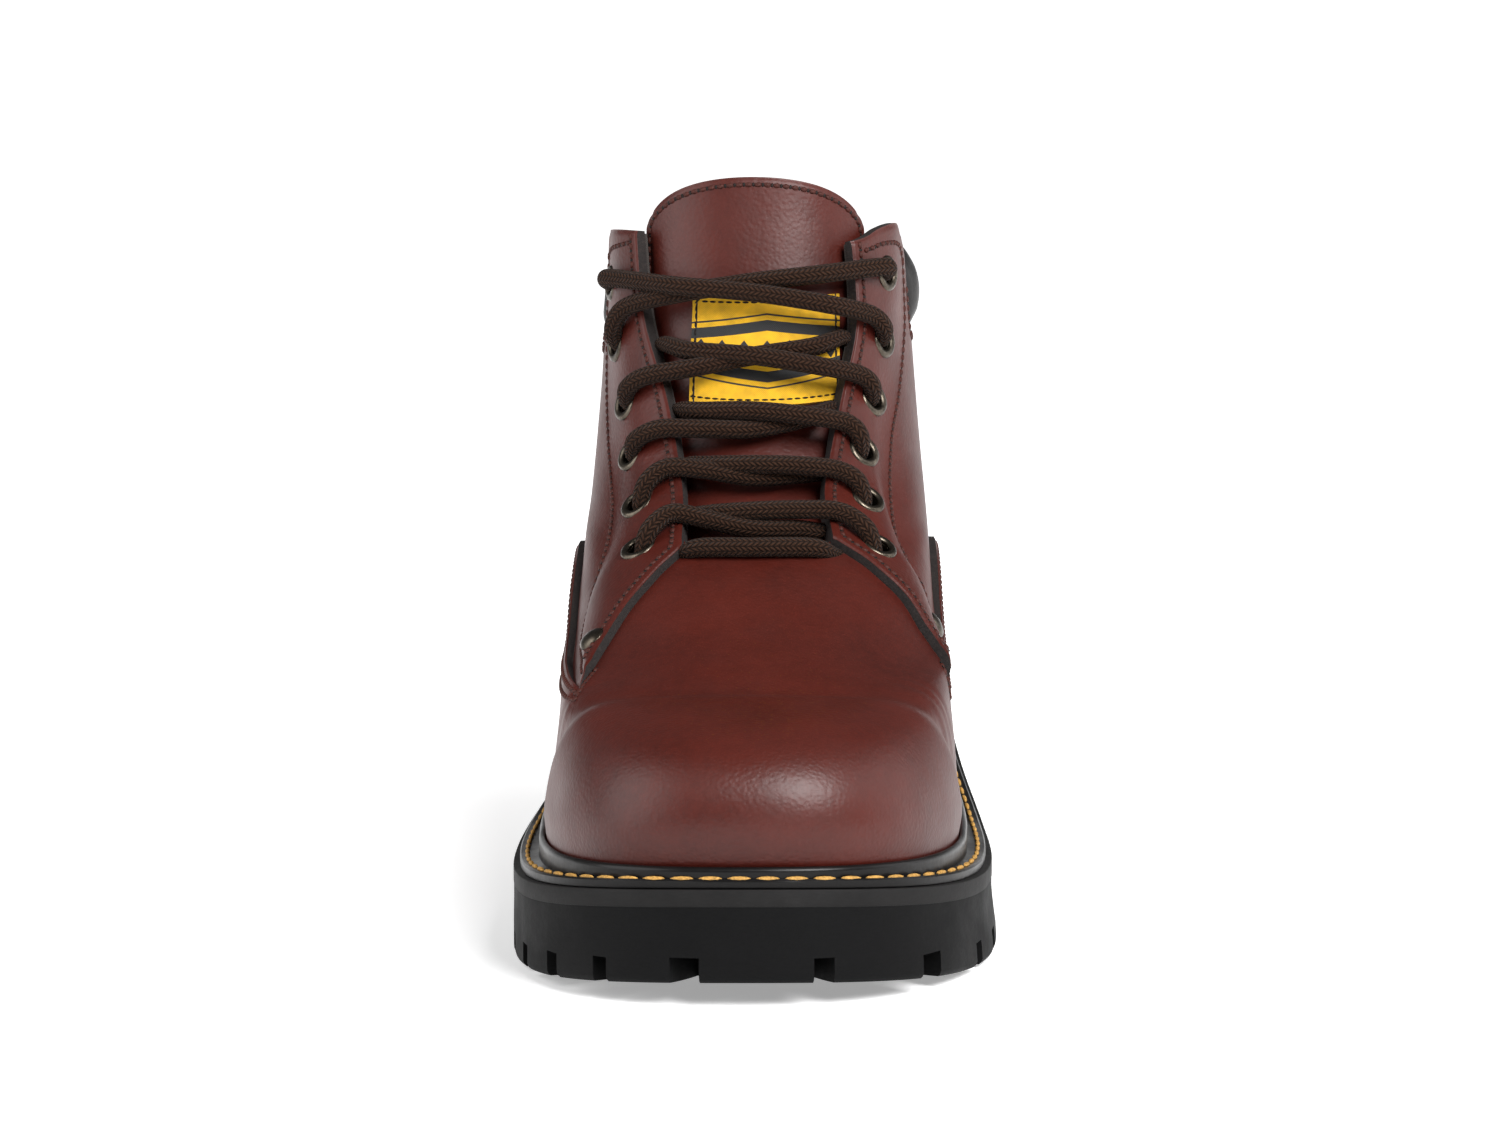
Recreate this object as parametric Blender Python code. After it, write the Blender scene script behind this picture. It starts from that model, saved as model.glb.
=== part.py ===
"""Left work boot: lasted leather upper with V-tipped facings, storm welt, midsole and lugged outsole.

Metres, +Z up. The toe points to -Y, the outer side of the foot is +X, and the origin lies on the floor
under the middle of the boot.
"""
import math
from collections import namedtuple

import bmesh
import bpy
import numpy as np
from mathutils import Matrix, Vector

MM = 0.001

# Driving sizes of the boot
LENGTH = 308 * MM
SOLE_LATERAL = 60 * MM
SOLE_MEDIAL = 59.5 * MM
WELT_REACH_LATERAL = 8 * MM     # from the sole's widest place in to the foot of the upper
WELT_REACH_MEDIAL = 7.5 * MM
BALL_LATERAL = SOLE_LATERAL - WELT_REACH_LATERAL
BALL_MEDIAL = SOLE_MEDIAL - WELT_REACH_MEDIAL
SHAFT_HEIGHT = 172 * MM

# Heights of the sole: the seat is the top of the midsole, where upper, welt and insole stand
TOE_SPRING = 6.2 * MM
ARCH_RISE = 10 * MM
TOE_SEAT = 28.5 * MM
BALL_SEAT = 21.5 * MM
HEEL_SEAT = 37.5 * MM
MIDSOLE_THICK = 4.2 * MM
SPRING_START = 0.26     # where the seat starts to rise towards the toe, share of LENGTH
TREAD_START = 0.25      # where the tread leaves the floor towards the toe
HEEL_START = 0.36       # where the seat starts to rise towards the heel, and how long it rises
HEEL_RUN = 0.40
LUG_DEPTH = 6 * MM
SOLE_FLARE = 1.2 * MM
TOE_SWING = 3.5 * MM

# Thicknesses and clearances
WALL = 2.2 * MM
LEATHER = 1.8 * MM
GAP = 0.3 * MM
FACET_GAP = 0.9 * MM    # between curved walls whose facets do not line up
INSOLE_THICK = 3.5 * MM
TONGUE_THICK = 3.6 * MM
TONGUE_BELOW = 1.9 * MM  # room for the label between tongue and facings
LABEL_THICK = 0.8 * MM

# Toe cap
CAP_RISE = 2.0 * MM
CREASE_DEPTH = 1.3 * MM
CREASE_PLACE = 0.202
CREASE_TOP = 0.37       # height of the crease on the centre line, share of SHAFT_HEIGHT
CREASE_LEAN = 0.45
CREASE_WIDTH = 5 * MM
CREASE_BEHIND = 3 * MM  # from the cap's edge back to the middle of its crease
CAP_EDGE = 9 * MM       # length over which the cap rises
CAP_FOOT = 4 * MM       # the cap rises from here above the seat, over the next length
CAP_SIDE = 12 * MM
CREASE_FOOT = 14 * MM   # the crease fades out below this height above the seat, over the same length

# Welt
WELT_THICK = 2.4 * MM
WELT_SETBACK = 1.6 * MM
BEAD_RING = 0.47        # ring of the last that the bead's top lies on
BEAD_THICK = 1.6 * MM
BEAD_FOOT = 1 * MM      # the bead's foot beyond its top
BEAD_SIDE = 0.75        # height of the bead's upright side, share of its rise
BEAD_STEP = 0.2 * MM

# Fittings
EYELET_RADIUS = 4.7 * MM
EYELET_BORE = 2.6 * MM
EYELET_THICK = 1.1 * MM
EYELET_WALL = 0.5 * MM
EYELET_DEEP = 4.2 * MM
EYELET_SIDES = 9
BORE_LENGTH = 16 * MM
PROBE = 12 * MM         # where the search for a wall starts, outside it
RIVET_RADIUS = 3.8 * MM
RIVET_HEIGHT = 1.8 * MM
LACE_RADIUS = 2.6 * MM
LACE_STEP = 9 * MM
LACE_LIFTS = (2.3 * MM, 1.3 * MM, 1.9 * MM, -0.9 * MM, -1.4 * MM, -1.7 * MM)   # along a strand, over its radius
LACE_UNDER = 0.2 * MM   # how far the lower and the upper strand of a crossing stand off
LACE_OVER = 3.4 * MM
COLLAR_SWELL = 2.9 * MM
COLLAR_DEPTH = 9.5 * MM
COLLAR_SEAM = 0.3 * MM  # the collar's cover at its seam, off the quarter
COLLAR_END = 2.5 * MM   # depth at its two ends

# Rings of the last, from the feather edge to above the shaft. Places along are shares of LENGTH, heights
# are shares of SHAFT_HEIGHT and half widths are shares of BALL_LATERAL and BALL_MEDIAL.
Ring = namedtuple("Ring", "front front_up back back_up lateral medial widest toe_round heel_round waist")
RINGS = [
    Ring(0.026, 0.167, 0.966, 0.220, 1.000, 1.000, 0.31, 2.60, 2.6, 0.13),
    Ring(0.018, 0.233, 0.974, 0.290, 0.990, 0.965, 0.31, 2.60, 2.6, 0.11),
    Ring(0.023, 0.290, 0.981, 0.343, 0.975, 0.945, 0.32, 2.50, 2.6, 0.09),
    Ring(0.045, 0.331, 0.984, 0.384, 0.960, 0.930, 0.34, 2.35, 2.6, 0.07),
    Ring(0.088, 0.352, 0.984, 0.413, 0.955, 0.930, 0.36, 2.20, 2.6, 0.06),
    Ring(0.146, 0.360, 0.982, 0.442, 0.955, 0.925, 0.39, 2.20, 2.6, 0.05),
    Ring(0.201, 0.370, 0.980, 0.471, 0.950, 0.920, 0.40, 2.25, 2.6, 0.04),
    Ring(0.260, 0.398, 0.977, 0.506, 0.945, 0.915, 0.40, 2.25, 2.6, 0.03),
    Ring(0.325, 0.445, 0.974, 0.547, 0.940, 0.900, 0.38, 2.20, 2.6, 0.02),
    Ring(0.373, 0.485, 0.969, 0.593, 0.935, 0.890, 0.40, 2.15, 2.5, 0.01),
    Ring(0.422, 0.529, 0.964, 0.640, 0.926, 0.868, 0.44, 2.10, 2.4, 0.00),
    Ring(0.490, 0.610, 0.955, 0.721, 0.905, 0.845, 0.48, 2.05, 2.3, 0.00),
    Ring(0.549, 0.733, 0.946, 0.802, 0.880, 0.820, 0.50, 2.10, 2.2, 0.00),
    Ring(0.581, 0.866, 0.942, 0.878, 0.855, 0.807, 0.50, 2.20, 2.2, 0.00),
    Ring(0.599, 1.000, 0.938, 0.977, 0.840, 0.800, 0.50, 2.30, 2.2, 0.00),
    Ring(0.607, 1.105, 0.938, 1.070, 0.840, 0.800, 0.50, 2.30, 2.2, 0.00),
]
SETTLED_RING = 6        # rings below this one follow the curve of the seat
LATERAL_WAIST = 0.35    # the outer side's waist as a share of the inner side's
WAIST_PLACE = 0.58      # middle and width of the waist, shares of an outline's length
WAIST_RUN = 0.14

# Seams on the last: "round" is the share of the way from toe to heel, "ring" the ring's number
Seam = namedtuple("Seam", "round ring")
THROAT_MEDIAL = [Seam(0.087, 9.9), Seam(0.102, 11.0), Seam(0.142, 12.0), Seam(0.205, 13.0), Seam(0.232, 14.0)]
THROAT_LATERAL = [Seam(0.098, 10.2), Seam(0.100, 11.0), Seam(0.138, 12.0), Seam(0.182, 13.0), Seam(0.178, 14.0)]
EDGE_MEDIAL = [Seam(0.0, 9.4), Seam(0.087, 9.8), Seam(0.144, 8.0), Seam(0.181, 6.8), Seam(0.212, 5.4),
               Seam(0.228, 4.2), Seam(0.30, 4.35), Seam(0.355, 5.0), Seam(0.385, 7.5), Seam(0.44, 8.3),
               Seam(0.52, 7.9), Seam(0.62, 6.3), Seam(0.71, 5.0), Seam(0.80, 6.0), Seam(0.90, 7.8), Seam(1.0, 8.3)]
EDGE_LATERAL = [Seam(0.0, 9.4), Seam(0.098, 10.0), Seam(0.138, 9.3), Seam(0.206, 7.6), Seam(0.263, 6.2),
                Seam(0.305, 4.6), Seam(0.328, 3.8), Seam(0.350, 5.4), Seam(0.385, 7.9), Seam(0.44, 8.5),
                Seam(0.52, 8.0), Seam(0.62, 6.3), Seam(0.71, 5.0), Seam(0.80, 6.0), Seam(0.90, 7.8),
                Seam(1.0, 8.3)]
TIP_MEDIAL = 0.228
TIP_LATERAL = 0.328
BESIDE_TIP = 0.055      # from the tip to the second column behind it
FLAP_FADE = 0.45        # the flap's step fades out over this share of the tip's place
FLAP_REACH = 1.02
TOP_LINE = [Seam(0.0, 14.0), Seam(0.36, 14.0), Seam(0.405, 13.8), Seam(0.435, 12.75), Seam(0.52, 12.65),
            Seam(0.80, 12.65), Seam(1.0, 12.8)]
PAD_TOP = 13.75         # ring reached by the padded collar
PAD_START = 0.455       # where the collar leaves the facings, share of the way round

# Rows of the upper below the seam line, as shares of the line's ring, and rows above it
LOWER_ROWS = (0.0, 0.06, 0.14, 0.23, 0.33, 0.43, 0.53, 0.585, 0.63, 0.68, 0.82, 1.0)
UPPER_ROWS = 12
STEP_RINGS = 0.12       # height of the cut edge of the leather, in rings
UPPER_SIDE = 28         # columns on one side of the upper
THROAT_COLUMN = 3
TIP_COLUMN = 9

# Eyelets: one row a pair, from the top down
Eyelet = namedtuple("Eyelet", "medial medial_ring lateral lateral_ring")
EYELETS = [
    Eyelet(0.345, 13.25, 0.269, 13.40),
    Eyelet(0.300, 12.50, 0.250, 12.60),
    Eyelet(0.250, 11.80, 0.212, 11.90),
    Eyelet(0.219, 11.20, 0.175, 11.30),
    Eyelet(0.181, 10.50, 0.169, 10.60),
    Eyelet(0.156, 9.60, 0.169, 9.60),
]
RIVET_MEDIAL = Seam(0.206, 6.65)
RIVET_LATERAL = Seam(0.285, 6.8)

# Grooves between the lugs at the sole's edge: place as a share of the half outline, width as a share of LENGTH
Groove = namedtuple("Groove", "place width")
GROOVES_MEDIAL = [Groove(0.045, 0.026), Groove(0.105, 0.013), Groove(0.160, 0.0195), Groove(0.225, 0.0162),
                  Groove(0.275, 0.0195), Groove(0.335, 0.0195), Groove(0.395, 0.0195), Groove(0.455, 0.0195),
                  Groove(0.745, 0.0195), Groove(0.81, 0.0195), Groove(0.875, 0.0195), Groove(0.94, 0.0195)]
GROOVES_LATERAL = [Groove(0.055, 0.0162), Groove(0.140, 0.0227), Groove(0.215, 0.0162), Groove(0.275, 0.0195),
                   Groove(0.335, 0.0195), Groove(0.395, 0.0195), Groove(0.455, 0.0195),
                   Groove(0.745, 0.0195), Groove(0.81, 0.0195), Groove(0.875, 0.0195), Groove(0.94, 0.0195)]
GROOVE_REACH = 0.4 * SOLE_LATERAL   # how far a side groove runs in from the edge
GROOVE_BEYOND = 3 * MM              # and out of it
Centre = namedtuple("Centre", "place width")
CENTRE_GROOVES = [Centre(place, 0.28) for place in (0.10, 0.17, 0.24, 0.31, 0.38, 0.445)]
CENTRE_GROOVES += [Centre(place, 0.18) for place in (0.79, 0.87)]
CENTRE_GROOVE = 0.0162              # their size along the boot, share of LENGTH
ARCH_FRONT = 0.49       # the arch between the forepart's tread and the heel, shares of LENGTH
ARCH_BACK = 0.70
ARCH_LIP = 0.016        # lengths of the arch's steps, shares of LENGTH
ARCH_RAMP = 0.084
ARCH_BREAST = 0.023
ARCH_UNDER = 5 * MM     # how far the arch's cutter reaches below the floor
SOLE_SIDE = 28          # columns on one side of the sole's pieces

LATTICE_RINGS = 151
LATTICE_SIDE = 160


def clear_scene():
    for item in list(bpy.data.objects):
        bpy.data.objects.remove(item, do_unlink=True)


def new_collection(name):
    collection = bpy.data.collections.new(name)
    bpy.context.scene.collection.children.link(collection)
    return collection


def make_material(name, colour, roughness, metallic=0.0):
    material = bpy.data.materials.new(name)
    material.use_nodes = True
    shader = material.node_tree.nodes["Principled BSDF"]
    shader.inputs["Base Color"].default_value = (*colour, 1.0)
    shader.inputs["Roughness"].default_value = roughness
    shader.inputs["Metallic"].default_value = metallic
    return material


def add_mesh(name, points, faces, material, collection):
    mesh = bpy.data.meshes.new(name)
    mesh.from_pydata([tuple(map(float, point)) for point in points], [], faces)
    item = bpy.data.objects.new(name, mesh)
    collection.objects.link(item)
    if material:
        mesh.materials.append(material)
    mesh.shade_smooth()
    mesh.set_sharp_from_angle(angle=math.radians(40))
    return item


def ease(value):
    """Smooth step from 0 to 1."""
    value = np.clip(value, 0, 1)
    return value * value * (3 - 2 * value)


def smooth_table(rows, at):
    """Catmull-Rom curve through evenly numbered rows, one result row for each value of at."""
    rows = np.asarray(rows, float)
    at = np.clip(np.asarray(at, float), 0, len(rows) - 1)
    low = np.minimum(at.astype(int), len(rows) - 2)
    t = (at - low)[:, None]
    before = rows[np.maximum(low - 1, 0)]
    start = rows[low]
    end = rows[low + 1]
    after = rows[np.minimum(low + 2, len(rows) - 1)]
    return 0.5 * (2 * start + (end - before) * t + (2 * before - 5 * start + 4 * end - after) * t ** 2
                  + (3 * start - before - 3 * end + after) * t ** 3)


def along_of(y):
    return y + LENGTH / 2


def seat_height(along):
    """Top of the midsole above the floor, for a distance along from the toe."""
    share = along / LENGTH
    toe = (TOE_SEAT - BALL_SEAT) * np.clip(1 - share / SPRING_START, 0, 1) ** 2
    heel = (HEEL_SEAT - BALL_SEAT) * ease((share - HEEL_START) / HEEL_RUN)
    return BALL_SEAT + toe + heel


def tread_height(along):
    """Underside of the lugs: the toe spring, then flat on the floor."""
    return TOE_SPRING * np.clip(1 - along / (TREAD_START * LENGTH), 0, 1) ** 2


def toe_swing(along):
    return -TOE_SWING * np.clip(1 - along / (HEEL_START * LENGTH), 0, 1) ** 2


def half_outline(front, back, half, widest, toe_round, heel_round, waist, steps):
    """One side of an outline from toe to heel, evenly spaced: distances out and along."""
    turn = np.linspace(0, math.pi, 361)
    share = (1 - np.cos(turn)) / 2
    fore = np.clip(1 - share / widest, 0, 1)
    aft = np.clip((share - widest) / (1 - widest), 0, 1)
    shape = np.where(share < widest, (1 - fore ** toe_round) ** (1 / toe_round),
                     (1 - aft ** heel_round) ** (1 / heel_round))
    out = half * shape * (1 - waist * np.exp(-((share - WAIST_PLACE) / WAIST_RUN) ** 2))
    along = front + (back - front) * share
    run = np.concatenate([[0], np.cumsum(np.hypot(np.diff(out), np.diff(along)))])
    even = np.linspace(0, run[-1], steps + 1)
    return np.interp(even, run, out), np.interp(even, run, along)


# The last: one lattice of points that every piece of the upper is cut from

def ring_heights(ring, along):
    front, back = ring.front * LENGTH, ring.back * LENGTH
    rise = (ring.back_up - ring.front_up) * (along - front) / (back - front)
    return (ring.front_up + rise) * SHAFT_HEIGHT


def build_lattice():
    """One row a ring, columns from the heel by the medial side to the toe and back by the lateral side."""
    numbers = np.linspace(0, len(RINGS) - 1, LATTICE_RINGS)
    points = np.zeros((LATTICE_RINGS, 2 * LATTICE_SIDE, 3))
    for index, row in enumerate(smooth_table(RINGS, numbers)):
        ring = Ring(*row)
        settle = max(0.0, 1 - numbers[index] / SETTLED_RING) ** 2
        for side, half, waist in ((1, ring.lateral * (BALL_LATERAL - LEATHER), ring.waist * LATERAL_WAIST),
                                  (-1, ring.medial * (BALL_MEDIAL - LEATHER), ring.waist)):
            out, along = half_outline(ring.front * LENGTH, ring.back * LENGTH, half, ring.widest,
                                      ring.toe_round, ring.heel_round, waist, LATTICE_SIDE)
            up = ring_heights(ring, along)
            up = up + (seat_height(along) + GAP - ring_heights(RINGS[0], along)) * settle
            column = np.stack([side * out + toe_swing(along), along - LENGTH / 2, up], axis=1)
            if side > 0:
                points[index, LATTICE_SIDE:] = column[:LATTICE_SIDE]
                points[index, 0] = column[LATTICE_SIDE]
            else:
                points[index, 1:LATTICE_SIDE] = column[1:LATTICE_SIDE][::-1]
    return points


def lattice_normals(points):
    around = np.roll(points, -1, axis=1) - np.roll(points, 1, axis=1)
    up = np.gradient(points, axis=0)
    normal = np.cross(around, up)
    return normal / np.linalg.norm(normal, axis=2, keepdims=True)


def press_cap(points, normals):
    """Toe cap pressed out in front of its crease."""
    along = along_of(points[..., 1])
    height = points[..., 2]
    line = CREASE_PLACE * LENGTH + (CREASE_TOP * SHAFT_HEIGHT - height) * CREASE_LEAN
    above_seat = height - seat_height(along)
    cap = CAP_RISE * ease((line - along) / CAP_EDGE) * ease((above_seat - CAP_FOOT) / CAP_SIDE)
    groove = CREASE_DEPTH * np.exp(-((along - line - CREASE_BEHIND) / CREASE_WIDTH) ** 2)
    groove = groove * ease((above_seat - CREASE_FOOT) / CREASE_FOOT)
    return points + normals * (cap - groove)[..., None]


LAST = build_lattice()
LAST = press_cap(LAST, lattice_normals(LAST))
LAST_NORMALS = lattice_normals(LAST)


def on_last(rounds, rings, lift):
    """Points on the last: round is signed, lateral positive; lift is the distance off the surface."""
    rounds, rings, lift = np.broadcast_arrays(np.asarray(rounds, float), np.asarray(rings, float),
                                              np.asarray(lift, float))
    column = (rounds + 1) * LATTICE_SIDE
    row = np.clip(rings * (LATTICE_RINGS - 1) / (len(RINGS) - 1), 0, LATTICE_RINGS - 1.001)
    c0 = np.floor(column).astype(int)
    r0 = np.floor(row).astype(int)
    tc = (column - c0)[..., None]
    tr = (row - r0)[..., None]
    ca, cb = c0 % (2 * LATTICE_SIDE), (c0 + 1) % (2 * LATTICE_SIDE)

    def blend(grid):
        low = grid[r0, ca] * (1 - tc) + grid[r0, cb] * tc
        high = grid[r0 + 1, ca] * (1 - tc) + grid[r0 + 1, cb] * tc
        return low * (1 - tr) + high * tr

    return blend(LAST) + blend(LAST_NORMALS) * lift[..., None]


def seam_ring(seam, rounds):
    return np.interp(rounds, [row.round for row in seam], [row.ring for row in seam])


def seam_round(seam, rings):
    return np.interp(rings, [row.ring for row in seam], [row.round for row in seam])


# Closed solids from grids of points

def closed_sheet(name, outer, inner, keep, wrap, material, collection):
    """A wall between two equal grids. keep says which cells are there; wrap joins the last column."""
    rows, columns = outer.shape[:2]
    points = []
    numbers = {}

    def number(layer, row, column):
        key = (layer, row, column % columns if wrap else column)
        if key not in numbers:
            numbers[key] = len(points)
            points.append((outer, inner)[layer][key[1], key[2]])
        return numbers[key]

    faces = []
    edges = {}
    last = columns if wrap else columns - 1
    for row in range(rows - 1):
        for column in range(last):
            if not keep(row, column):
                continue
            corners = [(row, column), (row, column + 1), (row + 1, column + 1), (row + 1, column)]
            faces.append([number(0, *corner) for corner in corners])
            faces.append([number(1, *corner) for corner in reversed(corners)])
            for start, end in zip(corners, corners[1:] + corners[:1]):
                start = (start[0], start[1] % columns if wrap else start[1])
                end = (end[0], end[1] % columns if wrap else end[1])
                if (end, start) in edges:
                    del edges[(end, start)]
                else:
                    edges[(start, end)] = True
    for start, end in edges:
        faces.append([number(0, *end), number(0, *start), number(1, *start), number(1, *end)])
    return add_mesh(name, points, faces, material, collection)


def ring_solid(name, loops, material, collection):
    """A solid swept round a closed path: loops is stations by points of the section."""
    stations, count = loops.shape[:2]
    faces = []
    for station in range(stations):
        following = (station + 1) % stations
        for index in range(count):
            beside = (index + 1) % count
            faces.append([station * count + index, following * count + index,
                          following * count + beside, station * count + beside])
    return add_mesh(name, loops.reshape(-1, 3), faces, material, collection)


def capped_solid(name, loops, material, collection):
    """A solid along an open path, closed by a face at each end."""
    stations, count = loops.shape[:2]
    faces = [list(range(count))[::-1], list(range((stations - 1) * count, stations * count))]
    for station in range(stations - 1):
        for index in range(count):
            beside = (index + 1) % count
            faces.append([station * count + index, station * count + beside,
                          (station + 1) * count + beside, (station + 1) * count + index])
    item = add_mesh(name, loops.reshape(-1, 3), faces, material, collection)
    face_outwards(item)
    return item


def slab_solid(name, levels, material, collection):
    """A slab from stacked outlines, closed below and above by strips from side to side."""
    count = levels[0].shape[0]
    half = count // 2
    points = np.concatenate(levels)
    faces = []
    for level in range(len(levels) - 1):
        low, high = level * count, (level + 1) * count
        for index in range(count):
            beside = (index + 1) % count
            faces.append([low + index, low + beside, high + beside, high + index])
    for base, flip in ((0, True), ((len(levels) - 1) * count, False)):
        for index in range(half):
            left, left_next = (count - index) % count, (count - index - 1) % count
            corners = [index, index + 1, left_next, left]
            if index == 0:
                corners = [0, 1, count - 1]
            if index == half - 1:
                corners = [index, half, left]
            corners = [base + corner for corner in corners]
            faces.append(corners[::-1] if flip else corners)
    item = add_mesh(name, points, faces, material, collection)
    face_outwards(item)
    return item


def face_outwards(item):
    mesh = bmesh.new()
    mesh.from_mesh(item.data)
    bmesh.ops.recalc_face_normals(mesh, faces=mesh.faces)
    mesh.to_mesh(item.data)
    mesh.free()


def tube_mesh(name, route, radius, material, collection, sides=2):
    """A cord along a route, as a mesh with welded caps."""
    curve = bpy.data.curves.new(name, "CURVE")
    curve.dimensions = "3D"
    curve.bevel_depth = radius
    curve.bevel_resolution = sides
    curve.use_fill_caps = True
    spline = curve.splines.new("POLY")
    spline.points.add(len(route) - 1)
    for point, place in zip(spline.points, route):
        point.co = (*place, 1.0)
    holder = bpy.data.objects.new(name + "_route", curve)
    collection.objects.link(holder)
    mesh = bpy.data.meshes.new_from_object(holder.evaluated_get(bpy.context.evaluated_depsgraph_get()))
    bpy.data.objects.remove(holder)
    welded = bmesh.new()
    welded.from_mesh(mesh)
    bmesh.ops.remove_doubles(welded, verts=welded.verts, dist=0.01 * MM)
    bmesh.ops.recalc_face_normals(welded, faces=welded.faces)
    welded.to_mesh(mesh)
    welded.free()
    mesh.name = name
    item = bpy.data.objects.new(name, mesh)
    collection.objects.link(item)
    if material:
        mesh.materials.clear()
        mesh.materials.append(material)
    return item


def cut(item, cutter, operation, crossing=False):
    """Boolean with a cutter; crossing says that the cutter's own blocks may run through each other."""
    boolean = item.modifiers.new(cutter.name, "BOOLEAN")
    boolean.operation = operation
    boolean.object = cutter
    boolean.use_self = crossing
    cutter.hide_render = True
    cutter.display_type = "WIRE"


# Upper

def throat_round(lateral, ring):
    return seam_round(THROAT_LATERAL if lateral else THROAT_MEDIAL, ring)


def upper_column_line(lateral):
    """Where each column of one side crosses the seam line, as shares of the way round."""
    throat = (THROAT_LATERAL if lateral else THROAT_MEDIAL)[0].round
    tip = TIP_LATERAL if lateral else TIP_MEDIAL
    knots = (0, THROAT_COLUMN, TIP_COLUMN, TIP_COLUMN + 2, UPPER_SIDE)
    places = (0.0, throat, tip, tip + BESIDE_TIP, 1.0)
    return np.interp(np.arange(UPPER_SIDE + 1), knots, places)


def upper_grid():
    """Round, ring and lift of every point of the upper's outside."""
    rows = len(LOWER_ROWS) + UPPER_ROWS
    rounds = np.zeros((rows, 2 * UPPER_SIDE))
    rings = np.zeros_like(rounds)
    lift = np.zeros_like(rounds)
    for column in range(2 * UPPER_SIDE):
        place = column - UPPER_SIDE
        lateral = place > 0
        index = abs(place)
        line_rounds = upper_column_line(lateral)
        crossing = line_rounds[index]
        edge = EDGE_LATERAL if lateral else EDGE_MEDIAL
        line = seam_ring(edge, crossing)
        base_round = index / UPPER_SIDE
        tip = TIP_LATERAL if lateral else TIP_MEDIAL
        edge_top = THROAT_LATERAL[-1].ring
        for row, share in enumerate(LOWER_ROWS):
            rounds[row, column] = base_round + (crossing - base_round) * ease(share)
            rings[row, column] = line * share
            lift[row, column] = LEATHER
        throat = line_rounds[THROAT_COLUMN]
        spread = (crossing - throat) / (1 - throat)
        top_start = throat_round(lateral, edge_top)
        top = seam_ring(TOP_LINE, top_start + (1 - top_start) * max(spread, 0))
        throat_line = seam_ring(edge, throat)
        for step in range(UPPER_ROWS):
            row = len(LOWER_ROWS) + step
            share = step / (UPPER_ROWS - 1)
            ring = line + STEP_RINGS + (top - line - STEP_RINGS) * share
            edge_ring = throat_line + (edge_top - throat_line) * share
            start = throat_round(lateral, edge_ring)
            rings[row, column] = ring
            rounds[row, column] = start + (1 - start) * spread if index >= THROAT_COLUMN else crossing
            faded = ease((tip * FLAP_REACH - crossing) / (FLAP_FADE * tip))
            lift[row, column] = LEATHER * faded * (2 - share)
        if place < 0:
            rounds[:, column] *= -1
    return rounds, rings, lift


def build_upper(material, collection):
    rounds, rings, lift = upper_grid()
    outer = on_last(rounds, rings, lift)
    inner = on_last(rounds, rings, -WALL)
    for face in (outer, inner):
        face[0, :, 2] = seat_height(along_of(face[0, :, 1])) + GAP

    def keep(row, column):
        left = column - UPPER_SIDE
        in_throat = -THROAT_COLUMN <= left < THROAT_COLUMN
        return row < len(LOWER_ROWS) - 1 or not in_throat

    return closed_sheet("upper", outer, inner, keep, True, material, collection)


def facing_frame(lateral, rounds, ring, lift):
    """Place and outward direction on a facing."""
    side = 1 if lateral else -1
    place = on_last(side * rounds, ring, lift)
    above = on_last(side * rounds, ring, lift + 1 * MM)
    out = above - place
    return Vector(place), Vector(out).normalized()


def surface_height(item, place, out):
    """Distance along out from a place inside the wall to the outer face of a built piece."""
    start = place + out * PROBE
    hit, point, normal, index = item.ray_cast(start, -out)
    return point if hit else place


def disc_seat(item, place, out, radius):
    """Centre of a disc that just rests on a built piece, square to out."""
    seat = surface_height(item, place, out)
    aside = out.orthogonal().normalized()
    highest = 0.0
    for step in range(12):
        rim = Matrix.Rotation(math.pi * step / 6, 3, out) @ aside
        touched = surface_height(item, place + rim * radius, out)
        highest = max(highest, (touched - seat).dot(out))
    return seat + out * highest


def build_eyelets(upper, material, collection, cutters):
    bores = bmesh.new()
    bore = EYELET_BORE + EYELET_WALL + GAP
    seats = []
    for number, row in enumerate(EYELETS, start=1):
        for lateral, rounds, ring in ((False, row.medial, row.medial_ring), (True, row.lateral, row.lateral_ring)):
            place, out = facing_frame(lateral, rounds, ring, 0)
            seat = disc_seat(upper, place, out, EYELET_RADIUS)
            turn = Vector((0, 0, 1)).rotation_difference(out).to_matrix().to_4x4()
            bmesh.ops.create_cone(bores, cap_ends=True, segments=EYELET_SIDES, radius1=bore, radius2=bore,
                                  depth=BORE_LENGTH, matrix=Matrix.Translation(seat) @ turn)
            seats.append(("eyelet_%s_%d" % ("lateral" if lateral else "medial", number), seat, out, turn))
    mesh = bpy.data.meshes.new("eyelet_bores")
    bores.to_mesh(mesh)
    bores.free()
    cutter = bpy.data.objects.new("eyelet_bores", mesh)
    cutters.objects.link(cutter)
    cut(upper, cutter, "DIFFERENCE")
    barrel = EYELET_BORE + EYELET_WALL
    profile = ((EYELET_BORE, -EYELET_DEEP), (barrel, -EYELET_DEEP), (barrel, GAP),
               (EYELET_RADIUS, GAP), (EYELET_RADIUS * 0.85, GAP + EYELET_THICK),
               (EYELET_BORE, GAP + EYELET_THICK * 0.7))
    for name, seat, out, turn in seats:
        loops = []
        for step in range(EYELET_SIDES):
            angle = 2 * math.pi * step / EYELET_SIDES
            loops.append([seat + (turn @ Vector((radius * math.cos(angle), radius * math.sin(angle), up)))
                          for radius, up in profile])
        item = ring_solid(name, np.array(loops), material, collection)
        face_outwards(item)


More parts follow.
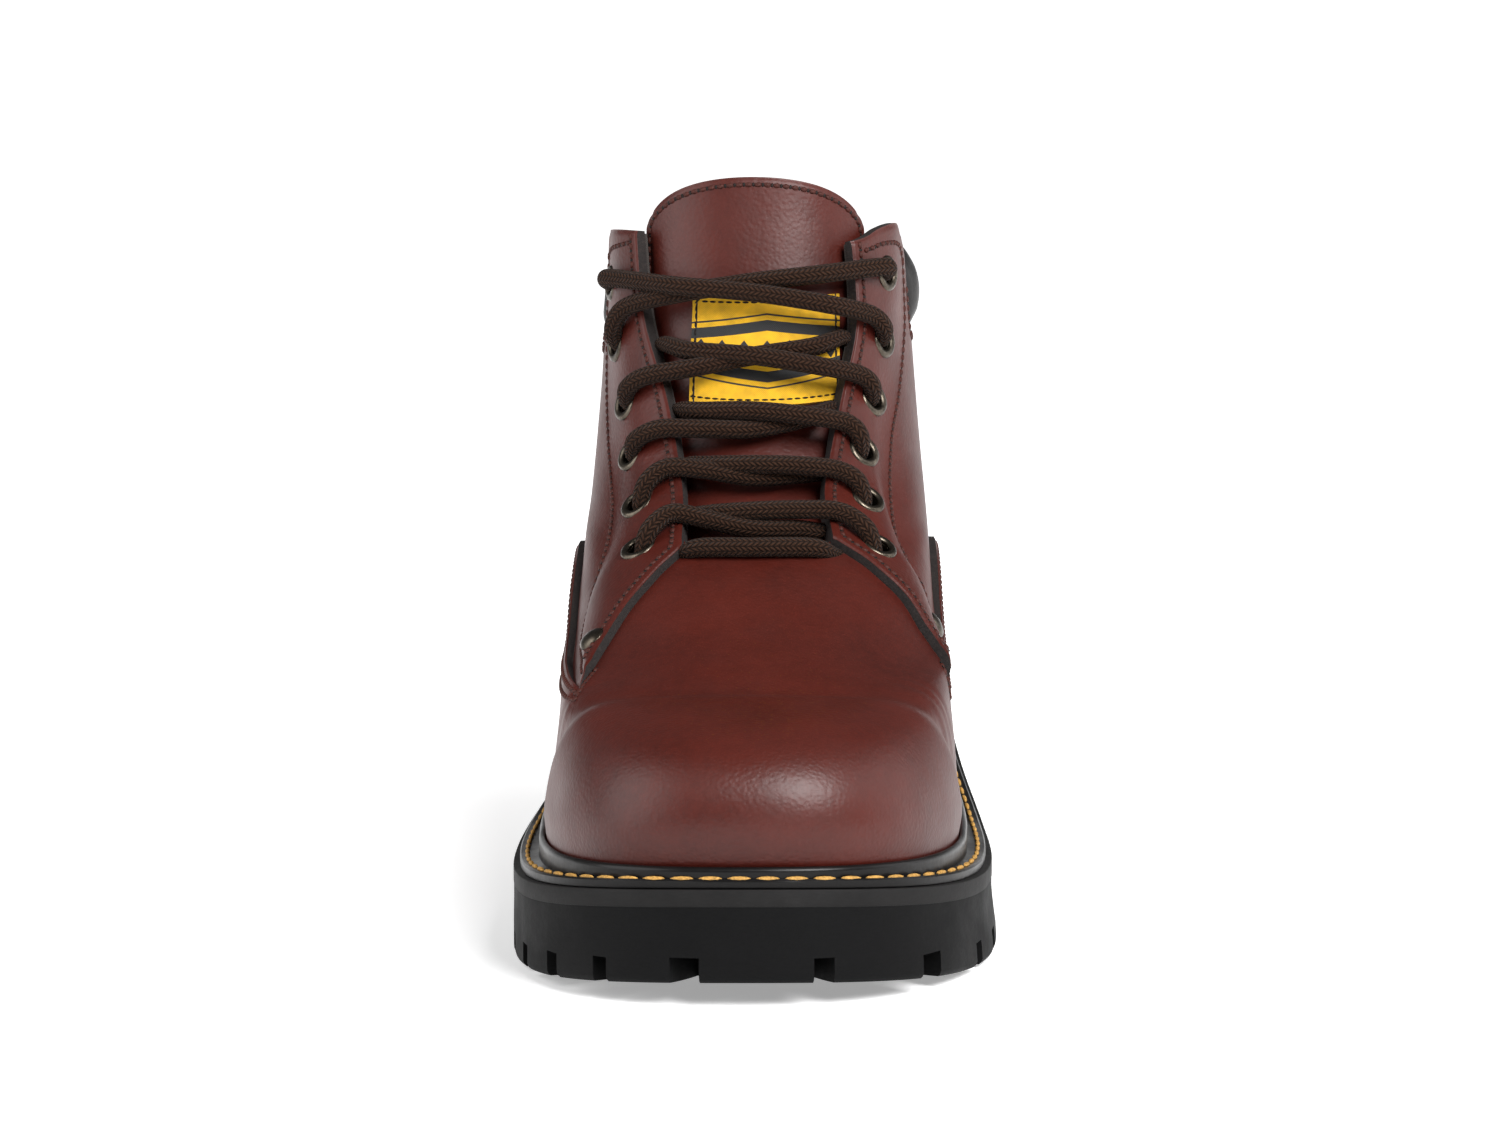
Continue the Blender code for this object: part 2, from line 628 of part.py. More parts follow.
def build_rivets(upper, material, collection):
    for lateral, seam in ((False, RIVET_MEDIAL), (True, RIVET_LATERAL)):
        place, out = facing_frame(lateral, seam.round, seam.ring, 0)
        seat = disc_seat(upper, place, out, RIVET_RADIUS)
        turn = Vector((0, 0, 1)).rotation_difference(out).to_matrix().to_4x4()
        mesh = bmesh.new()
        bmesh.ops.create_cone(mesh, cap_ends=True, segments=14, radius1=RIVET_RADIUS,
                              radius2=RIVET_RADIUS * 0.6, depth=RIVET_HEIGHT,
                              matrix=Matrix.Translation(seat + out * (RIVET_HEIGHT / 2 + GAP)) @ turn)
        data = bpy.data.meshes.new("rivet")
        mesh.to_mesh(data)
        mesh.free()
        data.materials.append(material)
        item = bpy.data.objects.new("rivet_lateral" if lateral else "rivet_medial", data)
        collection.objects.link(item)


# Tongue and collar

TONGUE_ROWS = 11
TONGUE_COLUMNS = 9
TONGUE_FOOT = 9.0
TONGUE_MIDDLE_TOP = 14.65
TONGUE_CORNER_TOP = 14.0
TONGUE_FOOT_HALF = 0.135
TONGUE_TOP_HALF = 0.225


def build_tongue(material, collection):
    across = np.linspace(-1, 1, TONGUE_COLUMNS)
    up = np.linspace(0, 1, TONGUE_ROWS)[:, None]
    half = TONGUE_FOOT_HALF + (TONGUE_TOP_HALF - TONGUE_FOOT_HALF) * ease(up * 1.1)
    top = TONGUE_CORNER_TOP + (TONGUE_MIDDLE_TOP - TONGUE_CORNER_TOP) * np.sqrt(1 - 0.96 * across ** 2)
    rings = TONGUE_FOOT + (top - TONGUE_FOOT) * up
    rounds = half * across
    rim = 0.5 + 0.5 * np.sqrt(np.clip(1 - across ** 8, 0, 1)) + 0 * up
    outside = -(WALL + TONGUE_BELOW) + 0 * rings
    outer = on_last(rounds, rings, outside)
    inner = on_last(rounds, rings, outside - TONGUE_THICK * rim)
    return closed_sheet("tongue", outer, inner, lambda row, column: True, False, material, collection)


LABEL_LOW = 12.03
LABEL_HIGH = 13.22
LABEL_MEDIAL = -0.118
LABEL_LATERAL = 0.168


def build_label(material, collection):
    rounds, rings = np.meshgrid(np.linspace(LABEL_MEDIAL, LABEL_LATERAL, 7), np.linspace(LABEL_LOW, LABEL_HIGH, 5))
    base = -(WALL + TONGUE_BELOW) + 2 * GAP
    outer = on_last(rounds, rings, base + LABEL_THICK)
    inner = on_last(rounds, rings, base)
    return closed_sheet("tongue_label", outer, inner, lambda row, column: True, False, material, collection)


COLLAR_STATIONS = 22


def build_collar(material, collection):
    """Padded roll on the quarters' top edge, from one facing round the heel to the other."""
    places = np.linspace(PAD_START, 2 - PAD_START, COLLAR_STATIONS)
    rounds, rings, lift = upper_grid()
    order = np.argsort(rounds[-1])
    edge_rounds, edge_rings = rounds[-1][order], rings[-1][order]
    loops = []
    for place in places:
        signed = place if place <= 1 else place - 2
        fade = ease(min(place - PAD_START, 2 - PAD_START - place) / 0.05)
        edge = np.interp(signed, edge_rounds, edge_rings, period=2)
        high = max(edge + 0.25, PAD_TOP - 0.25 * (1 - fade))
        swell = COLLAR_SEAM + COLLAR_SWELL * fade
        inside = WALL + FACET_GAP
        deep = inside + COLLAR_END + (COLLAR_DEPTH - COLLAR_END) * fade
        section = [
            (edge + 0.06, -inside), (edge + 0.06, COLLAR_SEAM), (edge + (high - edge) * 0.30, swell),
            (edge + (high - edge) * 0.65, swell * 0.8), (high, -0.25 * deep), (high, -0.6 * deep),
            (edge + (high - edge) * 0.4, -0.95 * deep), (edge - 0.5, -deep), (edge - 1.1, -0.75 * deep),
            (edge - 1.25, -inside),
        ]
        rings = np.array([row[0] for row in section])
        lift = np.array([row[1] for row in section])
        loops.append(on_last(signed, rings, lift))
    return capped_solid("collar", np.array(loops), material, collection)


# Sole

SOLE_WIDEST = 0.31      # widest place, share of LENGTH
SOLE_ROUND = 2.6
SOLE_WAIST_LATERAL = 0.045
SOLE_WAIST_MEDIAL = 0.14


def sole_outline(inset, lateral_more=0.0):
    """Closed outline of the sole, from the toe by the lateral side to the heel and back."""
    lateral = half_outline(inset, LENGTH - inset, SOLE_LATERAL - inset + lateral_more, SOLE_WIDEST, SOLE_ROUND,
                           SOLE_ROUND, SOLE_WAIST_LATERAL, SOLE_SIDE)
    medial = half_outline(inset, LENGTH - inset, SOLE_MEDIAL - inset, SOLE_WIDEST, SOLE_ROUND, SOLE_ROUND,
                          SOLE_WAIST_MEDIAL, 4 * SOLE_SIDE)
    return square_outline(lateral, medial)


def square_outline(lateral, medial):
    """Both sides as one loop whose points face each other straight across the boot."""
    across, along = lateral
    facing = np.interp(along, medial[1], medial[0])
    out = np.concatenate([across, -facing[1:-1][::-1]])
    along = np.concatenate([along, along[1:-1][::-1]])
    return np.stack([out + toe_swing(along), along - LENGTH / 2], axis=1)


def level(outline, heights):
    return np.column_stack([outline, heights])


def outsole_top(along):
    return seat_height(along) - MIDSOLE_THICK - GAP


# Levels of the sole's pieces from below: share of the height, inset of the outline, share of the flare
Level = namedtuple("Level", "share inset flare")
OUTSOLE_LEVELS = [Level(0.0, 0.8 * MM, 1.0), Level(0.06, 0.0, 1.0), Level(0.42, 0.0, 0.5), Level(0.80, 0.4 * MM, 0.0),
                  Level(0.84, 0.0, 0.0), Level(1.0, 0.0, 0.0)]
MIDSOLE_LEVELS = [Level(0.0, 0.2 * MM, 0.0), Level(0.12, 0.0, 0.0), Level(0.85, 0.0, 0.0), Level(1.0, 0.5 * MM, 0.0)]


def build_outsole(material, collection, cutters):
    levels = []
    for share, inset, flare in OUTSOLE_LEVELS:
        outline = sole_outline(inset, flare * SOLE_FLARE)
        along = along_of(outline[:, 1])
        low = tread_height(along)
        levels.append(level(outline, low + (outsole_top(along) - low) * share))
    outsole = slab_solid("outsole", levels, material, collection)

    arch = bmesh.new()
    front, back = ARCH_FRONT * LENGTH - LENGTH / 2, ARCH_BACK * LENGTH - LENGTH / 2
    profile = [(front, -ARCH_UNDER), (front + ARCH_LIP * LENGTH, LUG_DEPTH), (front + ARCH_RAMP * LENGTH, ARCH_RISE),
               (back - ARCH_BREAST * LENGTH, ARCH_RISE), (back, LUG_DEPTH * 0.5), (back, -ARCH_UNDER)]
    reach = SOLE_LATERAL * 1.5
    rims = [[arch.verts.new((side * reach, along, up)) for along, up in profile] for side in (-1, 1)]
    arch.faces.new(rims[0])
    arch.faces.new(rims[1][::-1])
    for index in range(len(profile)):
        beside = (index + 1) % len(profile)
        arch.faces.new([rims[0][index], rims[1][index], rims[1][beside], rims[0][beside]])
    bmesh.ops.recalc_face_normals(arch, faces=arch.faces)
    mesh = bpy.data.meshes.new("arch_cutter")
    arch.to_mesh(mesh)
    arch.free()
    arch_cutter = bpy.data.objects.new("arch_cutter", mesh)
    cutters.objects.link(arch_cutter)
    cut(outsole, arch_cutter, "DIFFERENCE")

    grooves = bmesh.new()
    outline = sole_outline(0.0, SOLE_FLARE)
    count = len(outline)
    for lateral, table in ((True, GROOVES_LATERAL), (False, GROOVES_MEDIAL)):
        for groove in table:
            place = groove.place * SOLE_SIDE
            if not lateral:
                place = (count - place) % count
            low, share = int(place), place - int(place)
            here, there = outline[low % count], outline[(low + 1) % count]
            point = here + (there - here) * share
            run = (there - here) / np.linalg.norm(there - here)
            inward = np.array([-run[1], run[0]])
            middle = point + inward * (GROOVE_REACH / 2 - GROOVE_BEYOND)
            floor = tread_height(along_of(point[1]))
            size = Matrix.Diagonal((GROOVE_REACH, groove.width * LENGTH, 2 * LUG_DEPTH, 1))
            turn = Matrix.Rotation(math.atan2(inward[1], inward[0]), 4, "Z")
            bmesh.ops.create_cube(grooves, size=1.0,
                                  matrix=Matrix.Translation((middle[0], middle[1], floor)) @ turn @ size)
    for share, width in CENTRE_GROOVES:
        along = share * LENGTH
        size = Matrix.Diagonal((width * (SOLE_LATERAL + SOLE_MEDIAL), CENTRE_GROOVE * LENGTH, 2 * LUG_DEPTH, 1))
        bmesh.ops.create_cube(grooves, size=1.0, matrix=Matrix.Translation(
            (float(toe_swing(along)), along - LENGTH / 2, float(tread_height(along)))) @ size)
    mesh = bpy.data.meshes.new("groove_cutter")
    grooves.to_mesh(mesh)
    grooves.free()
    groove_cutter = bpy.data.objects.new("groove_cutter", mesh)
    cutters.objects.link(groove_cutter)
    cut(outsole, groove_cutter, "DIFFERENCE", crossing=True)
    return outsole


def build_midsole(material, collection):
    levels = []
    for share, inset, flare in MIDSOLE_LEVELS:
        outline = sole_outline(inset, flare)
        along = along_of(outline[:, 1])
        levels.append(level(outline, seat_height(along) - MIDSOLE_THICK * (1 - share)))
    return slab_solid("midsole", levels, material, collection)


def build_welt(material, collection):
    outline = sole_outline(WELT_SETBACK)
    count = len(outline)
    loops = []
    for index in range(count):
        rounds = index / SOLE_SIDE if index <= SOLE_SIDE else index / SOLE_SIDE - 2
        foot = on_last(rounds, 0.0, LEATHER + 2 * GAP)
        half_up = on_last(rounds, BEAD_RING / 2, LEATHER + 2 * GAP)
        bead_in = on_last(rounds, BEAD_RING, LEATHER + 2 * GAP)
        rim = outline[index]
        seat = float(seat_height(along_of(rim[1]))) + GAP
        inner_seat = float(seat_height(along_of(foot[1]))) + GAP
        across = rim - foot[:2]
        across = across / np.linalg.norm(across)
        bead = bead_in[:2] + across * BEAD_THICK
        bead_foot = bead + across * BEAD_FOOT
        rise = bead_in[2] - inner_seat
        loops.append([
            (foot[0], foot[1], inner_seat), (rim[0], rim[1], seat), (rim[0], rim[1], seat + WELT_THICK),
            (*bead_foot, inner_seat + WELT_THICK),
            (*(bead_foot - across * BEAD_STEP), inner_seat + rise * BEAD_SIDE),
            (*bead, inner_seat + rise + GAP), tuple(bead_in), tuple(half_up),
        ])
    welt = ring_solid("welt", np.array(loops), material, collection)
    face_outwards(welt)
    return welt


def build_insole(material, collection):
    rounds = np.linspace(0, 1, SOLE_SIDE + 1)
    levels = []
    for up, ring in ((0.0, 0.02), (INSOLE_THICK, 0.3)):
        sides = []
        for side in (1, -1):
            edge = on_last(side * rounds, ring, -WALL - FACET_GAP)
            along = along_of(edge[:, 1])
            sides.append((side * (edge[:, 0] - toe_swing(along)), along))
        outline = square_outline(*sides)
        levels.append(level(outline, seat_height(along_of(outline[:, 1])) + GAP + up))
    return slab_solid("insole", levels, material, collection)


# Lace

BAR_ABOVE_EYELET = 0.38     # the lowest bar over the bottom eyelets, in rings


def facing_point(upper, lateral, rounds, ring, lift):
    place, out = facing_frame(lateral, rounds, ring, 0)
    return surface_height(upper, place, out) + out * lift


def smooth_route(points, step):
    points = [np.array(point, float) for point in points]
    dense = smooth_table(points, np.linspace(0, len(points) - 1, 16 * len(points)))
    run = np.concatenate([[0], np.cumsum(np.linalg.norm(np.diff(dense, axis=0), axis=1))])
    count = max(3, int(run[-1] / step) + 1)
    even = np.linspace(0, run[-1], count)
    return [tuple(np.interp(even, run, dense[:, axis]) for axis in range(3)) for even in even]


def lace_strand(upper, from_lateral, low, high, lift):
    """From beside one eyelet over its facing's edge, then down to the other facing's edge."""
    sign = 1 if from_lateral else -1
    start_round = low.lateral if from_lateral else low.medial
    start_ring = low.lateral_ring if from_lateral else low.medial_ring
    end_ring = (high.medial_ring if from_lateral else high.lateral_ring) + 0.03
    climb = end_ring - start_ring
    edge_ring = start_ring + climb * 0.80
    edge_round = throat_round(from_lateral, edge_ring)
    other_round = throat_round(not from_lateral, end_ring) - 0.022
    near = start_round + (edge_round - start_round) * 0.42
    over = start_round + (edge_round - start_round) * 0.82
    return smooth_route([
        facing_point(upper, from_lateral, near, start_ring + climb * 0.30, LACE_RADIUS + LACE_LIFTS[0]),
        facing_point(upper, from_lateral, over, start_ring + climb * 0.66, LACE_RADIUS + LACE_LIFTS[1]),
        on_last(sign * edge_round * 0.62, edge_ring + climb * 0.08, LACE_RADIUS + LACE_LIFTS[2] + lift),
        on_last(0.0, edge_ring + climb * 0.16, LACE_RADIUS + LACE_LIFTS[3] + lift),
        on_last(-sign * other_round * 0.6, end_ring, LACE_RADIUS + LACE_LIFTS[4] + lift * 0.5),
        on_last(-sign * other_round, end_ring + climb * 0.06, LACE_RADIUS + LACE_LIFTS[5]),
    ], LACE_STEP)


def build_lace(upper, material, collection, cutters):
    for number in range(5, 0, -1):
        low, high = EYELETS[number], EYELETS[number - 1]
        under = tube_mesh("lace_cross_%d" % number, lace_strand(upper, False, low, high, LACE_UNDER),
                          LACE_RADIUS, material, collection, 2)
        over = tube_mesh("lace_over_%d" % number, lace_strand(upper, True, low, high, LACE_OVER),
                         LACE_RADIUS, None, cutters, 2)
        cut(under, over, "UNION")
    ring = EYELETS[5].medial_ring + BAR_ABOVE_EYELET
    ends = [-throat_round(False, ring) * 0.80, throat_round(True, ring) * 0.80]
    route = [on_last(place, ring, LACE_RADIUS + LEATHER) for place in np.linspace(*ends, 6)]
    tube_mesh("lace_bar", [tuple(place) for place in route], LACE_RADIUS, material, collection, 2)


def main():
    clear_scene()
    boot = new_collection("work_boot")
    cutters = new_collection("cutters")
    leather = make_material("oxblood_leather", (0.115, 0.022, 0.014), 0.38)
    rubber = make_material("black_rubber", (0.012, 0.012, 0.013), 0.62)
    grey = make_material("grey_midsole", (0.055, 0.055, 0.055), 0.6)
    padding = make_material("black_padding", (0.012, 0.011, 0.011), 0.7)
    metal = make_material("antique_brass", (0.30, 0.25, 0.17), 0.35, 1.0)
    cord = make_material("brown_cord", (0.045, 0.024, 0.016), 0.8)
    cloth = make_material("yellow_label", (0.60, 0.36, 0.06), 0.8)
    board = make_material("insole_board", (0.16, 0.11, 0.07), 0.85)

    build_outsole(rubber, boot, cutters)
    build_midsole(grey, boot)
    build_welt(rubber, boot)
    build_insole(board, boot)
    upper = build_upper(leather, boot)
    build_tongue(leather, boot)
    build_label(cloth, boot)
    build_collar(padding, boot)
    build_rivets(upper, metal, boot)
    build_lace(upper, cord, boot, cutters)
    build_eyelets(upper, metal, boot, cutters)


main()
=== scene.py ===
import math
from collections import namedtuple
from functools import partial

import bmesh
import bpy
import numpy as np
from bpy.props import FloatProperty, FloatVectorProperty, PointerProperty
from mathutils import Matrix, Vector
from mathutils.bvhtree import BVHTree


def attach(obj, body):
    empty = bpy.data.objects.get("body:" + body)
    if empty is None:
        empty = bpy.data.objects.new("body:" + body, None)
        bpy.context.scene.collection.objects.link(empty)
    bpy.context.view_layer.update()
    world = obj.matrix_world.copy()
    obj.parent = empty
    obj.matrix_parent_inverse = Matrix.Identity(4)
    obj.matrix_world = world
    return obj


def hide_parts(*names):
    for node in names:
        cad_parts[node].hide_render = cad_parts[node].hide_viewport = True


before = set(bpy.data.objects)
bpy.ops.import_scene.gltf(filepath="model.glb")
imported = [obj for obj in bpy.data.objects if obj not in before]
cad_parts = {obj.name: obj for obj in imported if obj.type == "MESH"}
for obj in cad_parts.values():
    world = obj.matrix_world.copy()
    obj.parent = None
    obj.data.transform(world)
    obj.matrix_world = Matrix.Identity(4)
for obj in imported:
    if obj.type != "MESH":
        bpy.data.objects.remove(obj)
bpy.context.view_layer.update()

bl_info = {
    "name": "Work boot",
    "version": (1, 0, 0),
    "blender": (4, 5, 0),
    "location": "View3D > Sidebar > Work boot",
    "description": "Builds a left leather work boot, piece by piece, on its last",
    "category": "Add Mesh",
}

MM = 0.001

# Sizes of the last and the sole, the same as in the frame's solids
LENGTH = 308 * MM
SOLE_LATERAL = 60 * MM
SOLE_MEDIAL = 59.5 * MM
BALL_HALF_WIDTH = 52 * MM
SHAFT_HEIGHT = 172 * MM
TOE_SPRING = 6.2 * MM
ARCH_RISE = 10 * MM
TOE_SEAT = 28.5 * MM
BALL_SEAT = 21.5 * MM
HEEL_SEAT = 37.5 * MM
MIDSOLE_THICK = 4.2 * MM
LUG_DEPTH = 6 * MM
SOLE_FLARE = 1.2 * MM
TOE_SWING = 3.5 * MM
WALL = 2.2 * MM
LEATHER = 1.8 * MM
GAP = 0.3 * MM
TONGUE_THICK = 3.6 * MM
TONGUE_BELOW = 1.9 * MM
LABEL_THICK = 0.8 * MM
CAP_RISE = 2.0 * MM
CREASE_DEPTH = 0.75 * MM
CREASE_PLACE = 0.202
WELT_THICK = 2.4 * MM
WELT_SETBACK = 1.6 * MM
WELT_CLEAR = 0.15 * MM
SEAT_CLEAR = 0.02 * MM
BEAD_RING = 0.52
BEAD_RADIUS = 1.15 * MM
BEAD_REACH = 2.3 * MM
SOLE_ROUND = (0.31, 2.6, 2.6)

# Sizes of the sheets, holes and rows of thread; places round and rings are counted on the last
EDGE_DROP = 0.45 * MM
QUARTER_SEAM = 0.5
QUARTER_INSIDE = 0.9 * MM - WALL
VAMP_INSIDE = 0.15 * MM
WING_RISE = 0.5 * MM
WING_SKIVE = 0.9 * MM
LINING_OUTSIDE = 0.85 * MM - WALL
LINING_TOP = 9.4
LINING_BELOW_EDGE = 0.4
COUNTER_THICK = 1.0 * MM
COUNTER_INSIDE = 0.1 * MM
BACKSTAY_THICK = 1.5 * MM
BACKSTAY_START = 0.968
BACKSTAY_SPAN = 0.064
BACKSTAY_FOOT = 7.9
BACKSTAY_TOP = 12.85
BACKSTAY_ROWS = (0.976, 1.024)
TONGUE_FACE = -(WALL + TONGUE_BELOW)
TONGUE_FOOT = 9.0
TONGUE_TOP = 13.95
TONGUE_ARCH = 0.70
TONGUE_NARROW = 0.135
TONGUE_WIDE = 0.262
LABEL_LIFT = 0.55 * MM
LABEL_SUNK = 0.4 * MM
LABEL_ROUNDS = (-0.118, 0.168)
LABEL_RINGS = (12.03, 13.22)
LABEL_SEAM = [(-0.110, 12.09), (0.160, 12.09), (0.160, 13.16), (-0.110, 13.16)]
EYELET_HOLE = 3.0 * MM
BRAID_COLUMNS = 12.0
BRAID_PITCH = 1.35 * MM
WING_ROWS = (1.7 * MM, 3.9 * MM)
COUNTER_ROWS = (1.8 * MM, 4.2 * MM)
TONGUE_ROW = 2.1 * MM
OUTER_ROW_AT = 0.488
FACING_TOP_AT = 0.965
COLLAR_ROW_AT = 0.955

# Camera: lens in millimetres, place, and degrees that it looks down
LENS = 124.34
CAMERA_PLACE = (-0.00076, -1.3448, 0.2572)
CAMERA_TILT = 7.258

# Lamps: name, place, aim, width and power
LAMPS = (("key_light", (0.66, -0.95, 1.00), (0.0, -0.08, 0.08), 0.95, 34.0),
         ("left_light", (-1.30, -0.42, 0.72), (0.0, 0.0, 0.08), 1.7, 20.0),
         ("right_light", (1.25, 0.25, 0.50), (0.0, 0.0, 0.08), 1.1, 5.0))

Ring = namedtuple("Ring", "front front_up back back_up lateral medial widest toe_round heel_round waist")
RINGS = [
    Ring(0.026, 0.167, 0.966, 0.220, 1.000, 1.000, 0.31, 2.60, 2.6, 0.13),
    Ring(0.018, 0.233, 0.974, 0.290, 0.990, 0.965, 0.31, 2.60, 2.6, 0.11),
    Ring(0.023, 0.290, 0.981, 0.343, 0.975, 0.945, 0.32, 2.50, 2.6, 0.09),
    Ring(0.045, 0.331, 0.984, 0.384, 0.960, 0.930, 0.34, 2.35, 2.6, 0.07),
    Ring(0.088, 0.352, 0.984, 0.413, 0.955, 0.930, 0.36, 2.20, 2.6, 0.06),
    Ring(0.146, 0.360, 0.982, 0.442, 0.955, 0.925, 0.39, 2.20, 2.6, 0.05),
    Ring(0.201, 0.370, 0.980, 0.471, 0.950, 0.920, 0.40, 2.25, 2.6, 0.04),
    Ring(0.260, 0.398, 0.977, 0.506, 0.945, 0.915, 0.40, 2.25, 2.6, 0.03),
    Ring(0.325, 0.445, 0.974, 0.547, 0.940, 0.900, 0.38, 2.20, 2.6, 0.02),
    Ring(0.373, 0.485, 0.969, 0.593, 0.935, 0.890, 0.40, 2.15, 2.5, 0.01),
    Ring(0.422, 0.529, 0.964, 0.640, 0.926, 0.868, 0.44, 2.10, 2.4, 0.00),
    Ring(0.490, 0.610, 0.955, 0.721, 0.905, 0.845, 0.48, 2.05, 2.3, 0.00),
    Ring(0.549, 0.733, 0.946, 0.802, 0.880, 0.820, 0.50, 2.10, 2.2, 0.00),
    Ring(0.581, 0.866, 0.942, 0.878, 0.855, 0.807, 0.50, 2.20, 2.2, 0.00),
    Ring(0.599, 1.000, 0.938, 0.977, 0.840, 0.800, 0.50, 2.30, 2.2, 0.00),
    Ring(0.607, 1.105, 0.938, 1.070, 0.840, 0.800, 0.50, 2.30, 2.2, 0.00),
]
SETTLED_RING = 6
LATTICE_RINGS = 451
LATTICE_SIDE = 420

# Seams on the last, medial (-1) and lateral (1): share of the way round from toe to heel, and ring
THROAT = {-1: [(0.087, 9.9), (0.102, 11.0), (0.142, 12.0), (0.205, 13.0), (0.232, 14.0)],
          1: [(0.098, 10.2), (0.100, 11.0), (0.138, 12.0), (0.182, 13.0), (0.178, 14.0)]}
FLAP_EDGE = {-1: [(0.087, 9.8), (0.112, 9.1), (0.144, 8.0), (0.181, 6.8), (0.210, 5.5), (0.228, 4.2)],
             1: [(0.098, 10.0), (0.138, 9.3), (0.206, 7.6), (0.263, 6.2), (0.305, 4.8), (0.328, 3.8)]}
WING_EDGE = {-1: [(0.228, 4.2), (0.30, 4.35), (0.355, 5.0), (0.385, 7.5), (0.44, 8.3), (0.52, 7.9),
                  (0.62, 6.3), (0.71, 5.0), (0.80, 6.0), (0.90, 7.8), (1.0, 8.3)],
             1: [(0.328, 3.8), (0.350, 5.4), (0.385, 7.9), (0.44, 8.5), (0.52, 8.0), (0.62, 6.3),
                 (0.71, 5.0), (0.80, 6.0), (0.90, 7.8), (1.0, 8.3)]}
OUTER_ROW = {-1: [(0.228, 4.2), (0.255, 5.4), (0.278, 6.5), (0.268, 7.6), (0.252, 9.0), (0.262, 10.1),
                  (0.290, 10.6), (0.338, 11.2), (0.385, 11.9), (0.405, 12.6), (0.402, 13.2), (0.392, 14.0)],
             1: [(0.328, 3.8), (0.325, 5.2), (0.300, 6.7), (0.262, 7.9), (0.245, 8.9), (0.230, 9.8),
                 (0.240, 10.6), (0.272, 11.4), (0.318, 11.9), (0.362, 12.5), (0.385, 13.0), (0.381, 14.0)]}
TOP_LINE = {-1: [(0.0, 13.9), (0.36, 13.92), (0.405, 13.75), (0.435, 12.75), (0.52, 12.65), (0.80, 12.65),
                 (1.0, 12.8)],
            1: [(0.0, 13.75), (0.178, 13.80), (0.25, 13.95), (0.30, 14.01), (0.345, 14.0), (0.375, 13.87),
                (0.405, 13.65), (0.440, 12.75), (0.52, 12.65), (0.80, 12.65), (1.0, 12.8)]}
VAMP_TOP = 9.9
VAMP_BACK = 0.74
WING_TUCK = 1.1
COUNTER_FRONT = 0.70
COUNTER_EDGE = 0.712
EYELETS = {-1: [(0.345, 13.25), (0.300, 12.50), (0.250, 11.80), (0.219, 11.20), (0.181, 10.50),
                (0.156, 9.60)],
           1: [(0.269, 13.40), (0.250, 12.60), (0.212, 11.90), (0.175, 11.30), (0.169, 10.60),
               (0.169, 9.60)]}
RIVETS = {-1: [(0.206, 6.65)], 1: [(0.285, 6.8)]}
# Grooves of the tread: share of the way round from toe to heel, and width in millimetres
GROOVES = {1: [(0.055, 5), (0.140, 7), (0.215, 5), (0.275, 6), (0.335, 6), (0.395, 6), (0.455, 6),
               (0.745, 6), (0.81, 6), (0.875, 6), (0.94, 6)],
           -1: [(0.036, 7), (0.098, 4), (0.150, 5), (0.205, 5), (0.262, 6), (0.335, 6), (0.395, 6),
                (0.455, 6), (0.745, 6), (0.81, 6), (0.875, 6), (0.94, 6)]}
GROOVE_REACH = 27 * MM
# Grooves across the middle: length in millimetres, and shares of the boot's length
MIDDLE_GROOVES = {34: (0.10, 0.17, 0.24, 0.31, 0.38, 0.445), 22: (0.79, 0.87)}
MIDDLE_GROOVE_WIDTH = 5 * MM
ARCH_FRONT = 0.49
ARCH_BACK = 0.70
PAD_START = 0.437
PAD_TOP = 13.75
SIDES = {-1: "medial", 1: "lateral"}


# Shape of the last

def ease(value):
    value = np.clip(value, 0, 1)
    return value * value * (3 - 2 * value)


def smooth_table(rows, at):
    """Catmull-Rom curve through evenly numbered rows."""
    rows = np.asarray(rows, float)
    at = np.clip(np.asarray(at, float), 0, len(rows) - 1)
    low = np.minimum(at.astype(int), len(rows) - 2)
    t = (at - low)[:, None]
    before, start, end = rows[np.maximum(low - 1, 0)], rows[low], rows[low + 1]
    after = rows[np.minimum(low + 2, len(rows) - 1)]
    return 0.5 * (2 * start + (end - before) * t + (2 * before - 5 * start + 4 * end - after) * t ** 2
                  + (3 * start - before - 3 * end + after) * t ** 3)


def seam(table, at, by_ring=False):
    """Ring of a seam for a share round, or the share round for a ring."""
    fine = smooth_table(table, np.linspace(0, len(table) - 1, 24 * len(table)))
    key, value = (1, 0) if by_ring else (0, 1)
    rising = np.maximum.accumulate(fine[:, key])
    return np.interp(at, rising, fine[:, value])


def seat_height(along):
    share = along / LENGTH
    toe = (TOE_SEAT - BALL_SEAT) * np.clip(1 - share / 0.26, 0, 1) ** 2
    return BALL_SEAT + toe + (HEEL_SEAT - BALL_SEAT) * ease((share - 0.36) / 0.40)


def tread_height(along):
    return TOE_SPRING * np.clip(1 - along / (0.25 * LENGTH), 0, 1) ** 2


def toe_swing(along):
    return -TOE_SWING * np.clip(1 - along / (0.36 * LENGTH), 0, 1) ** 2


def half_outline(front, back, half, widest, toe_round, heel_round, waist, steps):
    turn = np.linspace(0, math.pi, 721)
    share = (1 - np.cos(turn)) / 2
    fore = np.clip(1 - share / widest, 0, 1)
    aft = np.clip((share - widest) / (1 - widest), 0, 1)
    shape = np.where(share < widest, (1 - fore ** toe_round) ** (1 / toe_round),
                     (1 - aft ** heel_round) ** (1 / heel_round))
    out = half * shape * (1 - waist * np.exp(-((share - 0.58) / 0.14) ** 2))
    along = front + (back - front) * share
    run = np.concatenate([[0], np.cumsum(np.hypot(np.diff(out), np.diff(along)))])
    even = np.linspace(0, run[-1], steps + 1)
    return np.interp(even, run, out), np.interp(even, run, along)


